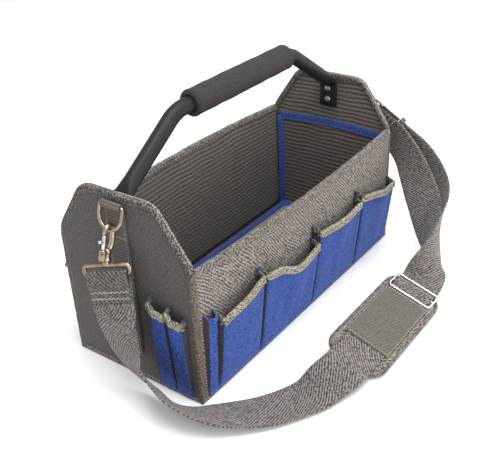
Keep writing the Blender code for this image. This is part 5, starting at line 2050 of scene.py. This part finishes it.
@dataclass
class StudioView:
    """Camera, soft lights, pale floor and pale surroundings."""

    spot: Triple = (-0.639, -0.489, 0.544)
    yaw: float = 52.97
    pitch: float = -30.13
    roll: float = -2.74
    lens: float = 55.76

    def camera(self) -> None:
        """Set the camera."""
        yaw, pitch, roll = (math.radians(a) for a in (self.yaw, self.pitch, self.roll))
        ahead = Vector((math.cos(pitch) * math.sin(yaw), math.cos(pitch) * math.cos(yaw), math.sin(pitch)))
        right = Vector((math.cos(yaw), -math.sin(yaw), 0))
        up = right.cross(ahead)
        across = right * math.cos(roll) + up * math.sin(roll)
        above = up * math.cos(roll) - right * math.sin(roll)
        data = bpy.data.cameras.new("view")
        data.lens = self.lens
        data.sensor_width = 36.0
        data.sensor_fit = "HORIZONTAL"
        data.clip_start = 0.01
        obj = linked("view", data)
        obj.matrix_world = Matrix((across, above, -ahead)).transposed().to_4x4()
        obj.location = self.spot
        bpy.context.scene.camera = obj

    def light(self, name: str, spot: Triple, size: float, power: float) -> None:
        """One soft light that faces the bag."""
        data = bpy.data.lights.new(name, "AREA")
        data.shape = "DISK"
        data.size = size
        data.energy = power
        obj = linked(name, data)
        obj.location = spot
        obj.rotation_euler = (Vector((0, -0.05, 0.1)) - Vector(spot)).to_track_quat("-Z", "Y").to_euler()

    def build(self) -> None:
        """Set camera, lights, floor and world."""
        self.camera()
        self.light("high_softbox", (-0.2, -0.3, 1.6), 1.2, 24.0)
        self.light("front_softbox", (-0.3, -1.7, 0.8), 1.2, 13.0)
        self.light("far_softbox", (1.4, -0.6, 1.1), 1.0, 9.0)
        world = bpy.data.worlds.new("pale_room")
        world.use_nodes = True
        backdrop = world.node_tree.nodes["Background"].inputs
        backdrop["Color"].default_value = (1.0, 1.0, 1.0, 1.0)
        backdrop["Strength"].default_value = 0.85
        bpy.context.scene.world = world
        bpy.context.scene.view_settings.view_transform = "Standard"
        mesh = bpy.data.meshes.new("pale_floor")
        half, drop = 6.0, -0.0004
        corners = ((-half, -half), (half, -half), (half, half), (-half, half))
        mesh.from_pydata([(x, y, drop) for x, y in corners], [], [(0, 1, 2, 3)])
        floor = linked("pale_floor", mesh)
        bench = FinishBench("floor_paper", Across.FLOOR)
        wear = bench.group(KIT.wear, bench.object, Patch_Scale=3, Speck_Scale=200)
        bench.colour(bench.blend(wear.outputs["Patch"], (0.9, 0.9, 0.9), (0.93, 0.93, 0.93)))
        bench.rough(wear.outputs["Speck"], 0.85, 0.95)
        mesh.materials.append(bench.material)
        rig.stage(floor)


def sizes(box: Sequence[Sequence[float]]) -> list[list[float]]:
    """A box as plain lists of numbers."""
    return [[float(value) for value in corner] for corner in box]


def keep_plain_nodes(frame: dict, replaced: set[str]) -> None:
    """Give every node that is still shown the base's finish.

    Args:
        frame: The loaded frame.
        replaced: Nodes that other pieces stand for.
    """
    for node, obj in frame["nodes"].items():
        if node in replaced:
            continue
        obj.data.materials.clear()
        obj.data.materials.append(FINISHES.get("base_cloth"))
        LOG.info("%s kept as it is", node)


def main() -> None:
    """Build the bag's looks, sub-assembly by sub-assembly."""
    logging.basicConfig(level=logging.INFO, format="%(message)s")
    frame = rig.load()
    cad_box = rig.bounds()
    StudioView().build()
    shape = BagShape()
    near = LinkSet(-1, 0.0, math.radians(8), 0.001, eye_bar=-0.0595, rock=math.radians(18))
    far = LinkSet(1, math.radians(52), 0.0, 0.003)
    place = PadPlace()
    pad_pieces, pad_runs = ShoulderPad(place).build()
    slide_pieces = StrapSlide(place).build()
    ShoulderStrap(near, far, place).build([*pad_pieces, *slide_pieces])
    bag_runs = near.build() + far.build()
    walls = (LongWall(shape, -1, 0.003, -0.006), LongWall(shape, 1, 0.01, 0.0015))
    for wall in walls:
        bag_runs += wall.build()
    for side in (-1, 1):
        bag_runs += GableEnd(shape, side).build()
    bag_runs += Floor(shape).build()
    bag_runs += PocketSet(shape, *walls).build()
    Handle(shape).build()
    needle = Needlework()
    needle.sew("bag_stitching", bag_runs, "bag")
    needle.sew("pad_stitching", pad_runs, "pad")
    for link in (near, far):
        needle.sew(f"{link.name}_loop_stitching", link.loop_stitches(), f"{link.name}_link")
    replaced = {node for node, obj in frame["nodes"].items() if obj.hide_render}
    keep_plain_nodes(frame, replaced)
    with open(SIZE_FILE, "w", encoding="utf-8") as file:
        json.dump({"cad": sizes(cad_box), "visual": sizes(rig.bounds())}, file)


if __name__ == "__main__":
    main()
